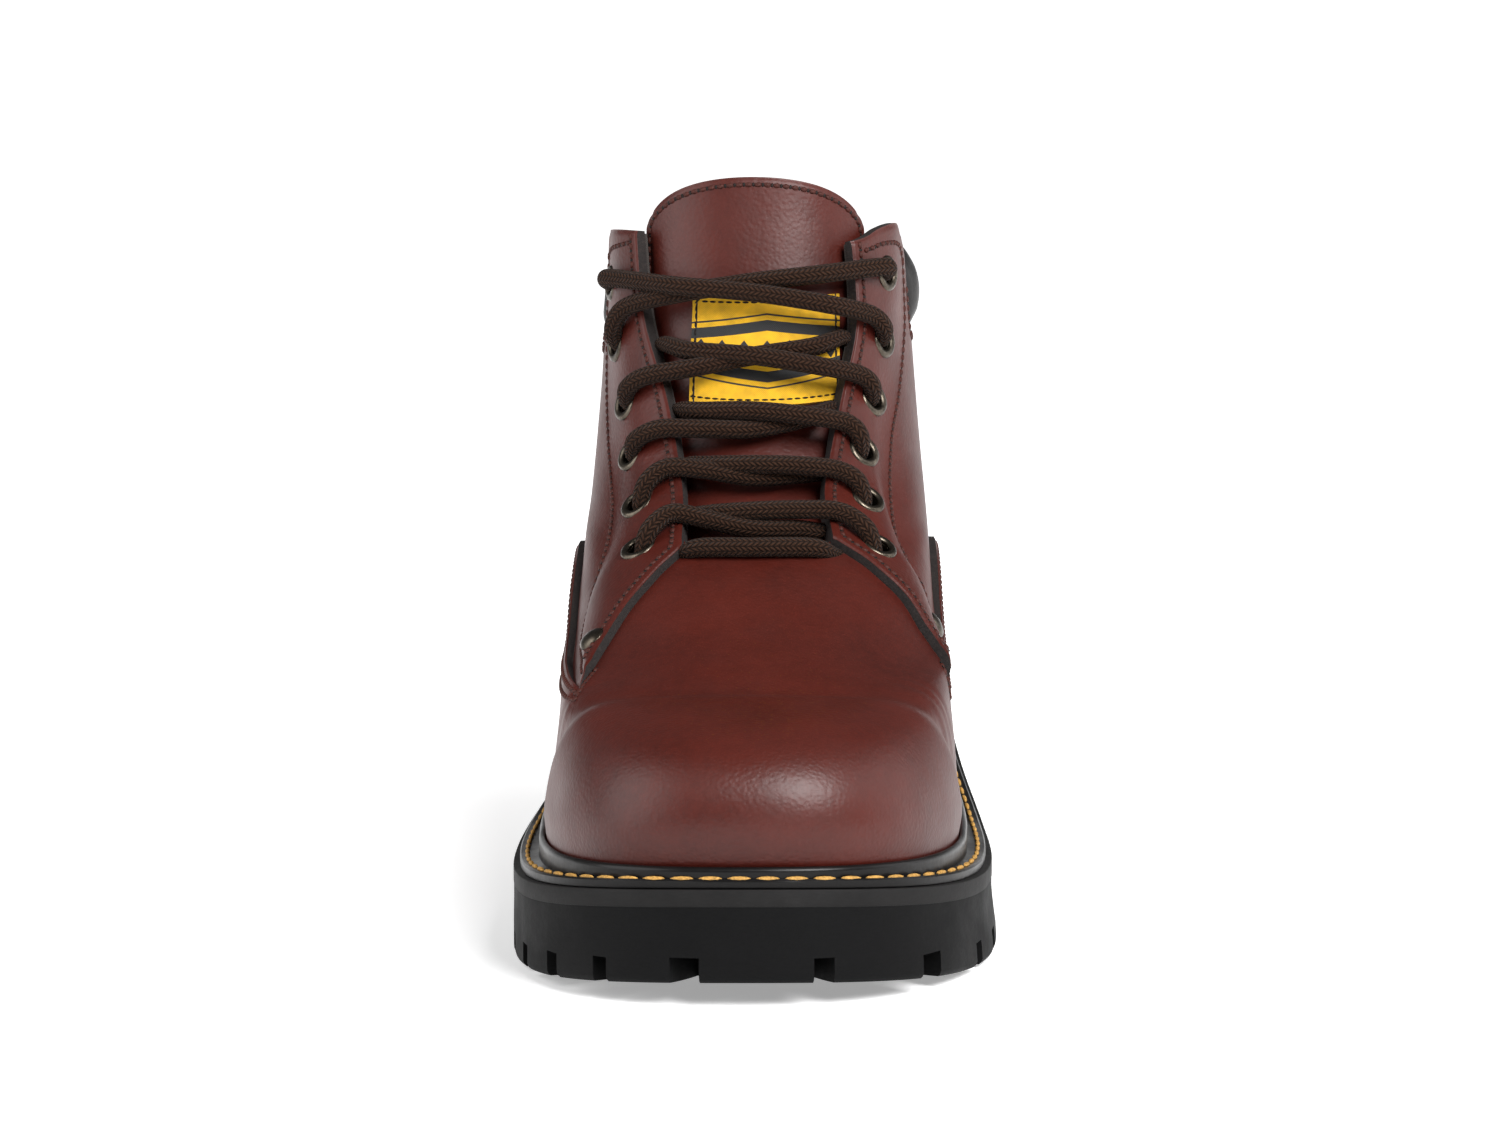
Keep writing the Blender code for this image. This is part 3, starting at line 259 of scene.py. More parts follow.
def ring_heights(ring, along):
    front, back = ring.front * LENGTH, ring.back * LENGTH
    return (ring.front_up + (ring.back_up - ring.front_up) * (along - front) / (back - front)) * SHAFT_HEIGHT


def build_lattice():
    numbers = np.linspace(0, len(RINGS) - 1, LATTICE_RINGS)
    base = BALL_HALF_WIDTH - LEATHER
    points = np.zeros((LATTICE_RINGS, 2 * LATTICE_SIDE, 3))
    for index, row in enumerate(smooth_table(RINGS, numbers)):
        ring = Ring(*row)
        settle = max(0.0, 1 - numbers[index] / SETTLED_RING) ** 2
        for side, half, waist in ((1, ring.lateral, ring.waist * 0.35), (-1, ring.medial, ring.waist)):
            out, along = half_outline(ring.front * LENGTH, ring.back * LENGTH, half * base, ring.widest,
                                      ring.toe_round, ring.heel_round, waist, LATTICE_SIDE)
            up = ring_heights(ring, along)
            up = up + (seat_height(along) + GAP - ring_heights(RINGS[0], along)) * settle
            column = np.stack([side * out + toe_swing(along), along - LENGTH / 2, up], axis=1)
            if side > 0:
                points[index, LATTICE_SIDE:] = column[:LATTICE_SIDE]
                points[index, 0] = column[LATTICE_SIDE]
            else:
                points[index, 1:LATTICE_SIDE] = column[1:LATTICE_SIDE][::-1]
    return points


def lattice_normals(points):
    around = np.roll(points, -1, axis=1) - np.roll(points, 1, axis=1)
    normal = np.cross(around, np.gradient(points, axis=0))
    return normal / np.linalg.norm(normal, axis=2, keepdims=True)


def press_cap(points, normals):
    """Toe cap pressed out in front of its crease."""
    along = points[..., 1] + LENGTH / 2
    height = points[..., 2]
    line = CREASE_PLACE * LENGTH + (0.37 * SHAFT_HEIGHT - height) * 0.45
    above_seat = height - seat_height(along)
    cap = CAP_RISE * ease((line - along + 1 * MM) / (13 * MM)) * ease((above_seat - 4 * MM) / (12 * MM))
    groove = CREASE_DEPTH * np.exp(-((along - line - 3 * MM) / (5.5 * MM)) ** 2)
    groove = groove * ease((above_seat - 14 * MM) / (14 * MM))
    return points + normals * (cap - groove)[..., None]


LAST = build_lattice()
LAST = press_cap(LAST, lattice_normals(LAST))
LAST_NORMALS = lattice_normals(LAST)


def on_last(rounds, rings, lift, want_normal=False):
    """Points on the last: round is signed, lateral positive; lift is the distance off the surface."""
    rounds, rings, lift = np.broadcast_arrays(np.asarray(rounds, float), np.asarray(rings, float),
                                              np.asarray(lift, float))
    column = (rounds + 1) * LATTICE_SIDE
    row = np.clip(rings * (LATTICE_RINGS - 1) / (len(RINGS) - 1), 0, LATTICE_RINGS - 1.001)
    c0, r0 = np.floor(column).astype(int), np.floor(row).astype(int)
    tc, tr = (column - c0)[..., None], (row - r0)[..., None]
    ca, cb = c0 % (2 * LATTICE_SIDE), (c0 + 1) % (2 * LATTICE_SIDE)

    def blend(grid):
        low = grid[r0, ca] * (1 - tc) + grid[r0, cb] * tc
        high = grid[r0 + 1, ca] * (1 - tc) + grid[r0 + 1, cb] * tc
        return low * (1 - tr) + high * tr

    normal = blend(LAST_NORMALS)
    place = blend(LAST) + normal * lift[..., None]
    return (place, normal) if want_normal else place


# Meshes

def linked(name, data):
    item = bpy.data.objects.new(name, data)
    bpy.context.scene.collection.objects.link(item)
    return item


def frozen(item):
    """The item's mesh as its modifiers leave it."""
    return bpy.data.meshes.new_from_object(item.evaluated_get(bpy.context.evaluated_depsgraph_get()))


def from_bmesh(name, made):
    mesh = bpy.data.meshes.new(name)
    made.to_mesh(mesh)
    made.free()
    return linked(name, mesh)


def add_mesh(name, points, faces, materials, flat=30):
    mesh = bpy.data.meshes.new(name)
    mesh.from_pydata([tuple(map(float, point)) for point in points], [], faces)
    for material in materials:
        mesh.materials.append(material)
    mesh.shade_smooth()
    mesh.set_sharp_from_angle(angle=math.radians(flat))
    return linked(name, mesh)


def spaced(count, crowd=0.85):
    """Shares from 0 to 1, crowded at both ends."""
    even = np.linspace(0, 1, count)
    return even - crowd * np.sin(2 * math.pi * even) / (2 * math.pi)


def sheet(name, outer, inner, materials, wrap=False, uv=False):
    """A closed wall between two equal grids; its cut edges take the second material."""
    rows, columns = outer.shape[:2]
    layer = rows * columns
    index = np.arange(layer).reshape(rows, columns)
    if wrap:
        index = np.concatenate([index, index[:, :1]], axis=1)
    a, b, c, d = index[:-1, :-1], index[:-1, 1:], index[1:, 1:], index[1:, :-1]
    front = np.stack([a, b, c, d], axis=-1).reshape(-1, 4)
    back = front[:, ::-1] + layer
    edge = []

    def rim(line):
        for here, there in zip(line[:-1], line[1:]):
            edge.append((there, here, here + layer, there + layer))

    rim(index[0])
    rim(index[-1][::-1])
    if not wrap:
        rim(index[:, -1])
        rim(index[::-1, 0])
    faces = [tuple(map(int, face)) for face in (*front, *back, *edge)]
    item = add_mesh(name, np.concatenate([outer.reshape(-1, 3), inner.reshape(-1, 3)]), faces, materials)
    kinds = np.zeros(len(faces), np.int32)
    if len(materials) > 1:
        kinds[len(front):] = 1
    item.data.polygons.foreach_set("material_index", kinds)
    if uv:
        across, up = np.meshgrid(np.linspace(0, 1, columns), np.linspace(0, 1, rows))
        flat = np.stack([across.ravel(), up.ravel()], axis=1)
        flat = np.concatenate([flat, flat])
        layer_uv = item.data.uv_layers.new(name="UVMap")
        corners = np.zeros(len(item.data.loops), np.int32)
        item.data.loops.foreach_get("vertex_index", corners)
        layer_uv.data.foreach_set("uv", flat[corners].ravel())
    return item


def face_outwards(item):
    mesh = bmesh.new()
    mesh.from_mesh(item.data)
    bmesh.ops.recalc_face_normals(mesh, faces=mesh.faces)
    mesh.to_mesh(item.data)
    mesh.free()


def loft(name, loops, materials, closed=True, uv=False, lengths=None):
    """A solid swept along stations by points of a section."""
    stations, count = loops.shape[:2]
    faces = []
    for station in range(stations if closed else stations - 1):
        following = (station + 1) % stations
        for index in range(count):
            beside = (index + 1) % count
            faces.append((station * count + index, station * count + beside,
                          following * count + beside, following * count + index))
    if not closed:
        faces.append(tuple(range(count))[::-1])
        faces.append(tuple(range((stations - 1) * count, stations * count)))
    item = add_mesh(name, loops.reshape(-1, 3), faces, materials)
    if uv:
        layer_uv = item.data.uv_layers.new(name="UVMap")
        for face in item.data.polygons:
            corners = list(face.loop_indices)
            for corner in corners:
                vertex = item.data.loops[corner].vertex_index
                station, around = divmod(vertex, count)
                turn = around / count
                if len(corners) == 4 and around == 0 and any(
                        item.data.loops[other].vertex_index % count == count - 1 for other in corners):
                    turn = 1.0
                layer_uv.data[corner].uv = (lengths[station], turn)
    face_outwards(item)
    return item


def surface_of(*items):
    """Ray-casting tree of finished pieces."""
    points, faces = [], []
    for item in items:
        base = len(points)
        points += [vertex.co.copy() for vertex in item.data.vertices]
        faces += [[base + corner for corner in face.vertices] for face in item.data.polygons]
    return BVHTree.FromPolygons(points, faces)


def snapped(tree, places, outs, lift=0.0):
    """Places dropped along their outward directions onto a surface."""
    above, reach = 9 * MM, 22 * MM
    result, normals = [], []
    for place, out in zip(places, outs):
        place, out = Vector(place), Vector(out).normalized()
        hit = tree.ray_cast(place + out * above, -out, reach)[0]
        result.append((hit if hit is not None else place) + out * lift)
        normals.append(out)
    return np.array(result), np.array(normals)


def run_along(points):
    """Length of a line up to each of its points."""
    return np.concatenate([[0], np.cumsum(np.linalg.norm(np.diff(points, axis=0), axis=1))])


def read_off(at, run, rows):
    return np.stack([np.interp(at, run, column) for column in rows.T], axis=1)


def drawn(points, step):
    """Evenly spaced points on a smooth curve through the given ones."""
    points = np.array(points, float)
    dense = smooth_table(points, np.linspace(0, len(points) - 1, 40 * len(points)))
    run = run_along(dense[:, :3])
    return read_off(np.linspace(0, run[-1], max(3, int(run[-1] / step) + 1)), run, dense)


def inset(places, outs, distance):
    """A line moved sideways on its surface; positive is to the left of its run."""
    along = np.gradient(places, axis=0)
    aside = np.cross(outs, along)
    return places + aside / np.linalg.norm(aside, axis=1, keepdims=True) * distance


# Node trees for what repeats

def tree_input(tree, name, kind, default=None):
    socket = tree.interface.new_socket(name, in_out="INPUT", socket_type=kind)
    if default is not None:
        socket.default_value = default


def new_tree(name, sizes):
    """A tree with its named sizes, the sockets it is given and the socket it ends in."""
    tree = bpy.data.node_groups.new(name, "GeometryNodeTree")
    tree_input(tree, "Geometry", "NodeSocketGeometry")
    for label, value in sizes.items():
        tree_input(tree, label, "NodeSocketFloat", value)
    tree_input(tree, "Material", "NodeSocketMaterial")
    tree.interface.new_socket("Geometry", in_out="OUTPUT", socket_type="NodeSocketGeometry")
    given, out = tree.nodes.new("NodeGroupInput"), tree.nodes.new("NodeGroupOutput")
    return tree, given.outputs, out.inputs[0]


def put(tree, kind, wires=None, **settings):
    """A node with its properties set and its inputs wired or given values."""
    node = tree.nodes.new(kind)
    for name, value in settings.items():
        setattr(node, name, value)
    for key, value in (wires or {}).items():
        if isinstance(value, bpy.types.NodeSocket):
            tree.links.new(value, node.inputs[key])
        else:
            node.inputs[key].default_value = value
    return node


def arithmetic(tree, operation, first, second=0.0, third=0.0):
    return put(tree, "ShaderNodeMath", {0: first, 1: second, 2: third}, operation=operation).outputs[0]


def xyz(tree, x=0.0, y=0.0, z=0.0):
    return put(tree, "ShaderNodeCombineXYZ", {"X": x, "Y": y, "Z": z}).outputs[0]


def stored(tree, name):
    return put(tree, "GeometryNodeInputNamedAttribute", {"Name": name},
               data_type="FLOAT_VECTOR").outputs["Attribute"]


def facing_turn(tree, along=None):
    """Rotation whose Z is the stored outward direction and whose X runs along the path."""
    wires = {"Vector": stored(tree, "out")}
    settings = {"axis": "Z"}
    if along is not None:
        first = put(tree, "FunctionNodeAlignRotationToVector", {"Vector": along}, axis="X")
        wires["Rotation"] = first.outputs["Rotation"]
        settings["pivot_axis"] = "X"
    return put(tree, "FunctionNodeAlignRotationToVector", wires, **settings).outputs["Rotation"]


def shaped(tree, shape, scale, move=(0.0, 0.0, 0.0)):
    wires = {"Geometry": shape, "Scale": scale, "Translation": move}
    return put(tree, "GeometryNodeTransform", wires).outputs[0]


def given_points(tree, given):
    return put(tree, "GeometryNodeMeshToPoints", {"Mesh": given["Geometry"]}).outputs[0]


def set_out(tree, given, out, points, shape, turn, scale=(1.0, 1.0, 1.0)):
    """Sets a shape on every point, makes it real and gives it its material."""
    placed = put(tree, "GeometryNodeInstanceOnPoints", {
        "Points": points, "Instance": shape, "Rotation": turn, "Scale": scale})
    solid = put(tree, "GeometryNodeRealizeInstances", {"Geometry": placed.outputs[0]})
    skin = put(tree, "GeometryNodeSetMaterial", {"Geometry": solid.outputs[0], "Material": given["Material"]})
    tree.links.new(skin.outputs[0], out)
    return tree


def stitch_tree():
    tree, given, out = new_tree("Stitch row", {"Spacing": 2.6 * MM, "Length": 2.2 * MM, "Width": 0.8 * MM,
                                               "Height": 0.6 * MM, "Shift": 0.0, "Sink": 0.0})
    curve = put(tree, "GeometryNodeMeshToCurve", {"Mesh": given["Geometry"]})
    even = put(tree, "GeometryNodeResampleCurve", {"Curve": curve.outputs[0], "Length": given["Spacing"]},
               mode="LENGTH")
    tangent = put(tree, "GeometryNodeInputTangent")
    bead = put(tree, "GeometryNodeMeshUVSphere", {"Segments": 8, "Rings": 5, "Radius": 0.5})
    size = xyz(tree, given["Length"], given["Width"], given["Height"])
    move = xyz(tree, x=arithmetic(tree, "MULTIPLY", given["Shift"], given["Spacing"]),
                  z=arithmetic(tree, "MULTIPLY", given["Sink"], -1.0))
    thread = shaped(tree, bead.outputs["Mesh"], size, move)
    return set_out(tree, given, out, even.outputs[0], thread, facing_turn(tree, tangent.outputs[0]))


def eyelet_tree():
    """A flattened hoop as the flange and a narrow one, stretched inwards, as the tube."""
    tree, given, out = new_tree("Eyelet", {"Outside": 4.7 * MM, "Bore": 2.6 * MM, "Depth": 4.2 * MM,
                                           "Thickness": 1.1 * MM})
    do = partial(arithmetic, tree)
    wide, bore, depth = given["Outside"], given["Bore"], given["Depth"]
    rim = do("SUBTRACT", wide, bore)
    middle = do("MULTIPLY", do("ADD", wide, bore), 0.5)
    flatten = do("MULTIPLY", do("DIVIDE", given["Thickness"], rim), 1.5)
    tube = 0.3 * MM
    both = tree.nodes.new("GeometryNodeJoinGeometry")
    for radius, wall, stretch, sink in (
            (middle, do("MULTIPLY", rim, 0.5), flatten, 0.0),
            (do("ADD", bore, tube), tube, do("DIVIDE", depth, 2 * tube), -0.5)):
        path = put(tree, "GeometryNodeCurvePrimitiveCircle", {"Resolution": 40, "Radius": radius})
        profile = put(tree, "GeometryNodeCurvePrimitiveCircle", {"Resolution": 10, "Radius": wall})
        hoop = put(tree, "GeometryNodeCurveToMesh", {"Curve": path.outputs[0],
                                                     "Profile Curve": profile.outputs[0]})
        move = xyz(tree, z=do("MULTIPLY", depth, sink))
        tree.links.new(shaped(tree, hoop.outputs[0], xyz(tree, 1.0, 1.0, stretch), move), both.inputs[0])
    return set_out(tree, given, out, given_points(tree, given), both.outputs[0], facing_turn(tree))


def rivet_tree():
    tree, given, out = new_tree("Rivet", {"Radius": 3.8 * MM, "Height": 1.8 * MM})
    ball = put(tree, "GeometryNodeMeshUVSphere", {"Segments": 28, "Rings": 14, "Radius": 1.0})
    head = shaped(tree, ball.outputs["Mesh"], xyz(tree, given["Radius"], given["Radius"], given["Height"]))
    return set_out(tree, given, out, given_points(tree, given), head, facing_turn(tree))


def groove_tree():
    tree, given, out = new_tree("Tread grooves", {"Depth": 2 * LUG_DEPTH})
    block = put(tree, "GeometryNodeMeshCube", {"Size": (1.0, 1.0, 1.0)})
    deep = shaped(tree, block.outputs[0], xyz(tree, 1.0, 1.0, given["Depth"]))
    points = given_points(tree, given)
    return set_out(tree, given, out, points, deep, stored(tree, "turn"), stored(tree, "size"))


TREE_MAKERS = {"stitch": stitch_tree, "eyelet": eyelet_tree, "rivet": rivet_tree, "groove": groove_tree}
TREES = {}


def repeated(name, kind, lines, material, attributes, **sizes):
    """Runs a node tree over points or paths and keeps the result as a plain mesh."""
    if kind not in TREES:
        TREES[kind] = TREE_MAKERS[kind]()
    tree = TREES[kind]
    points, edges = [], []
    for line in lines:
        base = len(points)
        points += [tuple(map(float, place)) for place in line]
        if kind == "stitch":
            edges += [(base + step, base + step + 1) for step in range(len(line) - 1)]
    mesh = bpy.data.meshes.new(name + "_path")
    mesh.from_pydata(points, edges, [])
    for label, values in attributes.items():
        layer = mesh.attributes.new(label, "FLOAT_VECTOR", "POINT")
        flat = np.concatenate([np.asarray(value, float) for value in values]).ravel()
        layer.data.foreach_set("vector", flat)
    holder = linked(name + "_path", mesh)
    modifier = holder.modifiers.new("nodes", "NODES")
    modifier.node_group = tree
    values = dict(sizes, Material=material)
    for socket in tree.interface.items_tree:
        if socket.in_out == "INPUT" and socket.name in values:
            modifier[socket.identifier] = values[socket.name]
    result = frozen(holder)
    bpy.data.objects.remove(holder)
    result.name = name
    result.shade_smooth()
    return linked(name, result)


def cut_away(item, cutter):
    """Boolean difference kept as a plain mesh."""
    modifier = item.modifiers.new("cut", "BOOLEAN")
    modifier.operation = "DIFFERENCE"
    modifier.object = cutter
    result = frozen(item)
    item.modifiers.clear()
    item.data = result
    result.name = item.name
    bpy.data.objects.remove(cutter)


# Materials

def new_material(name, colour, roughness, **sockets):
    material = bpy.data.materials.new(name)
    material.use_nodes = True
    shader = material.node_tree.nodes["Principled BSDF"]
    shader.inputs["Base Color"].default_value = (*colour, 1.0)
    shader.inputs["Roughness"].default_value = roughness
    for label, value in sockets.items():
        shader.inputs[label.replace("_", " ")].default_value = value
    return material, material.node_tree, shader


def object_coordinates(tree, scale=(1.0, 1.0, 1.0)):
    place = put(tree, "ShaderNodeTexCoord")
    return put(tree, "ShaderNodeMapping", {"Vector": place.outputs["Object"], "Scale": scale}).outputs[0]


def noise(tree, vector, scale, detail=3.0, roughness=0.5, distortion=0.0):
    return put(tree, "ShaderNodeTexNoise", {"Vector": vector, "Scale": scale, "Detail": detail,
                                            "Roughness": roughness, "Distortion": distortion}).outputs["Fac"]


def ramp(tree, fac, stops):
    node = put(tree, "ShaderNodeValToRGB", {"Fac": fac})
    elements = node.color_ramp.elements
    while len(elements) < len(stops):
        elements.new(0.5)
    for element, (position, colour) in zip(elements, stops):
        element.position = position
        element.color = (*colour, 1.0)
    return node.outputs["Color"]


def grey_ramp(tree, fac, low, high, start=0.0, end=1.0):
    return put(tree, "ShaderNodeMapRange", {"Value": fac, "From Min": start, "From Max": end, "To Min": low,
                                            "To Max": high}).outputs[0]


def bumps(tree, shader, layers):
    """Stacks height layers, each a value, a strength and a depth, on the shader's normal."""
    below = None
    for height, strength, depth in layers:
        wires = {"Height": height, "Strength": strength, "Distance": depth}
        if below is not None:
            wires["Normal"] = below
        below = put(tree, "ShaderNodeBump", wires).outputs[0]
    tree.links.new(below, shader.inputs["Normal"])


def scaled(colour, factor):
    return tuple(min(1.0, channel * factor) for channel in colour)


def blended(tree, factor, first, second):
    return put(tree, "ShaderNodeMix", {"Factor": factor, "A": first, "B": (*second, 1.0)},
               data_type="RGBA").outputs["Result"]


def uv_of(tree):
    parts = put(tree, "ShaderNodeSeparateXYZ", {0: put(tree, "ShaderNodeTexCoord").outputs["UV"]})
    return parts.outputs["X"], parts.outputs["Y"]


def leather_material(name, colour, grain=1.0):
    material, tree, shader = new_material(name, colour, 0.4, Coat_Weight=0.14, Coat_Roughness=0.38,
                                          Specular_IOR_Level=0.30)
    place = object_coordinates(tree)
    cloudy = noise(tree, place, 26.0, 4.0, 0.6)
    tint = ramp(tree, cloudy, [(0.30, scaled(colour, 0.72)), (0.52, colour), (0.74, scaled(colour, 1.30))])
    fleck = grey_ramp(tree, noise(tree, place, 420.0, 3.0, 0.65), 0.0, 0.35, 0.35, 0.75)
    tree.links.new(blended(tree, fleck, tint, scaled(colour, 1.5)), shader.inputs["Base Color"])
    worn = grey_ramp(tree, noise(tree, place, 70.0, 3.0), 0.40, 0.50, 0.3, 0.7)
    tree.links.new(worn, shader.inputs["Roughness"])
    pebble = put(tree, "ShaderNodeTexVoronoi", {"Vector": object_coordinates(tree, (1.0, 1.25, 1.0)),
                                                "Scale": 980.0, "Randomness": 1.0}, feature="SMOOTH_F1")
    bumps(tree, shader, [
        (noise(tree, place, 36.0, 2.0), 0.15, 0.9 * MM),
        (pebble.outputs["Distance"], 0.40 * grain, 0.25 * MM),
        (noise(tree, place, 1500.0, 3.0, 0.6), 0.25 * grain, 0.12 * MM)])
    return material


def raw_edge_material(name, colour):
    material, tree, shader = new_material(name, colour, 0.85)
    place = object_coordinates(tree, (1.0, 1.0, 1.6))
    fibres = noise(tree, place, 700.0, 5.0, 0.7, 0.6)
    tint = ramp(tree, fibres, [(0.3, scaled(colour, 0.45)), (0.55, colour), (0.8, scaled(colour, 2.6))])
    tree.links.new(tint, shader.inputs["Base Color"])
    bumps(tree, shader, [(fibres, 0.7, 0.5 * MM)])
    return material


def thread_material(name, colour):
    material, tree, shader = new_material(name, colour, 0.6, Specular_IOR_Level=0.25)
    twist = noise(tree, object_coordinates(tree), 1800.0, 2.0)
    tint = ramp(tree, twist, [(0.3, scaled(colour, 0.6)), (0.7, scaled(colour, 1.3))])
    tree.links.new(tint, shader.inputs["Base Color"])
    bumps(tree, shader, [(twist, 0.5, 0.2 * MM)])
    return material


def rubber_material(name, colour, roughness, coat=0.0, fine=900.0):
    material, tree, shader = new_material(name, colour, roughness, Coat_Weight=coat, Coat_Roughness=0.25,
                                          Specular_IOR_Level=0.10)
    place = object_coordinates(tree)
    dust = noise(tree, place, 60.0, 5.0, 0.7)
    tint = ramp(tree, dust, [(0.35, scaled(colour, 0.8)), (0.62, scaled(colour, 1.15)),
                             (0.8, scaled(colour, 1.7))])
    tree.links.new(tint, shader.inputs["Base Color"])
    dull = grey_ramp(tree, dust, roughness - 0.08, roughness + 0.1, 0.3, 0.7)
    tree.links.new(dull, shader.inputs["Roughness"])
    ripples = noise(tree, object_coordinates(tree, (1.0, 1.0, 5.0)), fine * 0.4, 3.0)
    bumps(tree, shader, [(ripples, 0.25, 0.2 * MM), (noise(tree, place, fine, 3.0), 0.3, 0.12 * MM)])
    return material


def metal_material(name, colour):
    material, tree, shader = new_material(name, colour, 0.44, Metallic=1.0)
    worn = noise(tree, object_coordinates(tree), 520.0, 4.0, 0.6)
    tint = ramp(tree, worn, [(0.3, scaled(colour, 0.35)), (0.55, colour), (0.75, scaled(colour, 1.5))])
    tree.links.new(tint, shader.inputs["Base Color"])
    tree.links.new(grey_ramp(tree, worn, 0.45, 0.24, 0.3, 0.7), shader.inputs["Roughness"])
    bumps(tree, shader, [(worn, 0.2, 0.12 * MM)])
    return material


def braid_material(name, colour):
    """Round braid: slanted stitches in columns that lean the other way from one to the next."""
    material, tree, shader = new_material(name, colour, 0.9, Sheen_Weight=0.03, Specular_IOR_Level=0.08)
    do = partial(arithmetic, tree)
    along, turn = uv_of(tree)
    columns = do("MULTIPLY", turn, BRAID_COLUMNS)
    part = do("FRACT", columns)
    lean = do("SUBTRACT", do("MULTIPLY", do("MODULO", do("FLOOR", columns), 2.0), 2.0), 1.0)
    slant = do("MULTIPLY", do("SUBTRACT", part, 0.5), lean)
    stripe = do("ADD", do("MULTIPLY", along, 1 / BRAID_PITCH), slant)
    wave = do("MULTIPLY_ADD", do("SINE", do("MULTIPLY", stripe, 2 * math.pi)), 0.5, 0.5)
    bulge = do("SINE", do("MULTIPLY", part, math.pi))
    height = do("MULTIPLY", do("POWER", wave, 0.6), do("POWER", bulge, 0.5))
    hair = noise(tree, object_coordinates(tree), 2200.0, 2.0)
    # Painted shade in the braid's grooves and a painted highlight on its crests: the colour follows the
    # bump's height; the hair noise below mixes in lighter fuzz.
    tint = ramp(tree, height, [(0.05, scaled(colour, 0.18)), (0.45, scaled(colour, 0.75)),
                               (0.9, scaled(colour, 1.7))])
    fuzz_and_painted_light = blended(tree, grey_ramp(tree, hair, 0.0, 0.5, 0.3, 0.8), tint, scaled(colour, 0.7))
    tree.links.new(fuzz_and_painted_light, shader.inputs["Base Color"])
    bumps(tree, shader, [(height, 0.9, 0.55 * MM), (hair, 0.3, 0.15 * MM)])
    return material


def label_material(name, ground, mark):
    """Woven label: two bent bars, two pinstripes and a row of lozenges."""
    material, tree, shader = new_material(name, ground, 0.75, Sheen_Weight=0.15)
    do = partial(arithmetic, tree)
    across, up = uv_of(tree)

    def band(value, low, high):
        return do("MULTIPLY", do("GREATER_THAN", value, low), do("LESS_THAN", value, high))

    middle = do("ABSOLUTE", do("SUBTRACT", up, 0.5))
    cell = do("ABSOLUTE", do("SUBTRACT", do("FRACT", do("MULTIPLY", across, 7.0)), 0.5))
    edge = do("ABSOLUTE", do("SUBTRACT", across, 0.5))
    bent = do("ADD", middle, do("MULTIPLY", edge, 0.20))
    ink = do("LESS_THAN", do("ADD", do("MULTIPLY", cell, 0.26), middle), 0.10)
    for bar in (band(bent, 0.19, 0.29), band(bent, 0.335, 0.352), band(edge, 0.462, 0.474)):
        ink = do("MAXIMUM", ink, bar)
    weave = do("MULTIPLY", do("SINE", do("MULTIPLY", across, 520.0)), do("SINE", do("MULTIPLY", up, 340.0)))
    shade = noise(tree, object_coordinates(tree), 300.0, 3.0)
    yellow = ramp(tree, shade, [(0.3, scaled(ground, 0.8)), (0.7, scaled(ground, 1.1))])
    tree.links.new(blended(tree, ink, yellow, mark), shader.inputs["Base Color"])
    bumps(tree, shader, [(weave, 0.35, 0.12 * MM)])
    return material


def cloth_material(name, colour, roughness=0.85, size=900.0):
    material, tree, shader = new_material(name, colour, roughness, Sheen_Weight=0.1)
    place = object_coordinates(tree)
    weave = put(tree, "ShaderNodeTexWave", {"Vector": place, "Scale": size, "Distortion": 1.5, "Detail": 2.0},
                bands_direction="DIAGONAL").outputs["Fac"]
    tint = ramp(tree, weave, [(0.2, scaled(colour, 0.6)), (0.8, scaled(colour, 1.3))])
    tree.links.new(tint, shader.inputs["Base Color"])
    bumps(tree, shader, [(noise(tree, place, 60.0, 2.0), 0.3, 0.8 * MM), (weave, 0.35, 0.15 * MM)])
    return material


# Maker, material's name, colour or the property that holds it, and what else the maker takes
FINISHES = {
    "leather": (leather_material, "oxblood_leather", "leather"),
    "edge": (raw_edge_material, "raw_leather_edge", "raw_edge"),
    "thread": (thread_material, "brown_thread", "thread"),
    # Near-black finish: painted shade for the needle holes, and the real black thread on the label's border.
    "hole": (thread_material, "needle_hole", (0.008, 0.004, 0.003)),
    "gold": (thread_material, "gold_thread", "welt_thread"),
    "rubber": (rubber_material, "black_rubber", "rubber", 0.62),
    "midsole": (rubber_material, "grey_midsole", "midsole", 0.58),
    "welt": (rubber_material, "black_welt", "welt", 0.36, 0.22, 600.0),
    "metal": (metal_material, "antique_brass", "metal"),
    "lace": (braid_material, "lace_braid", "lace"),
    "label": (label_material, "woven_label", "label", (0.014, 0.014, 0.015)),
    "padding": (leather_material, "black_padding", "padding", 0.8),
    "lining": (cloth_material, "dark_lining", "lining"),
    "insole": (cloth_material, "insole_cover", "insole", 0.9, 500.0),
}
MATERIALS = {}


def finish_of(name):
    """The boot's materials, each made on first use."""
    if name not in MATERIALS:
        maker, title, colour, *others = FINISHES[name]
        if isinstance(colour, str):
            colour = tuple(getattr(bpy.context.scene.boot_colours, colour))
        MATERIALS[name] = maker(title, colour, *others)
    return MATERIALS[name]


PIECES = {}


def keep(item, slot, *nodes):
    """A finished piece rides on the boot and stands for its solids; its slot is not used."""
    PIECES[item.name] = item
    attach(item, "root")
    if nodes:
        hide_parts(*nodes)
    return item


def sizes():
    return bpy.context.scene.boot_sizes


# Upper

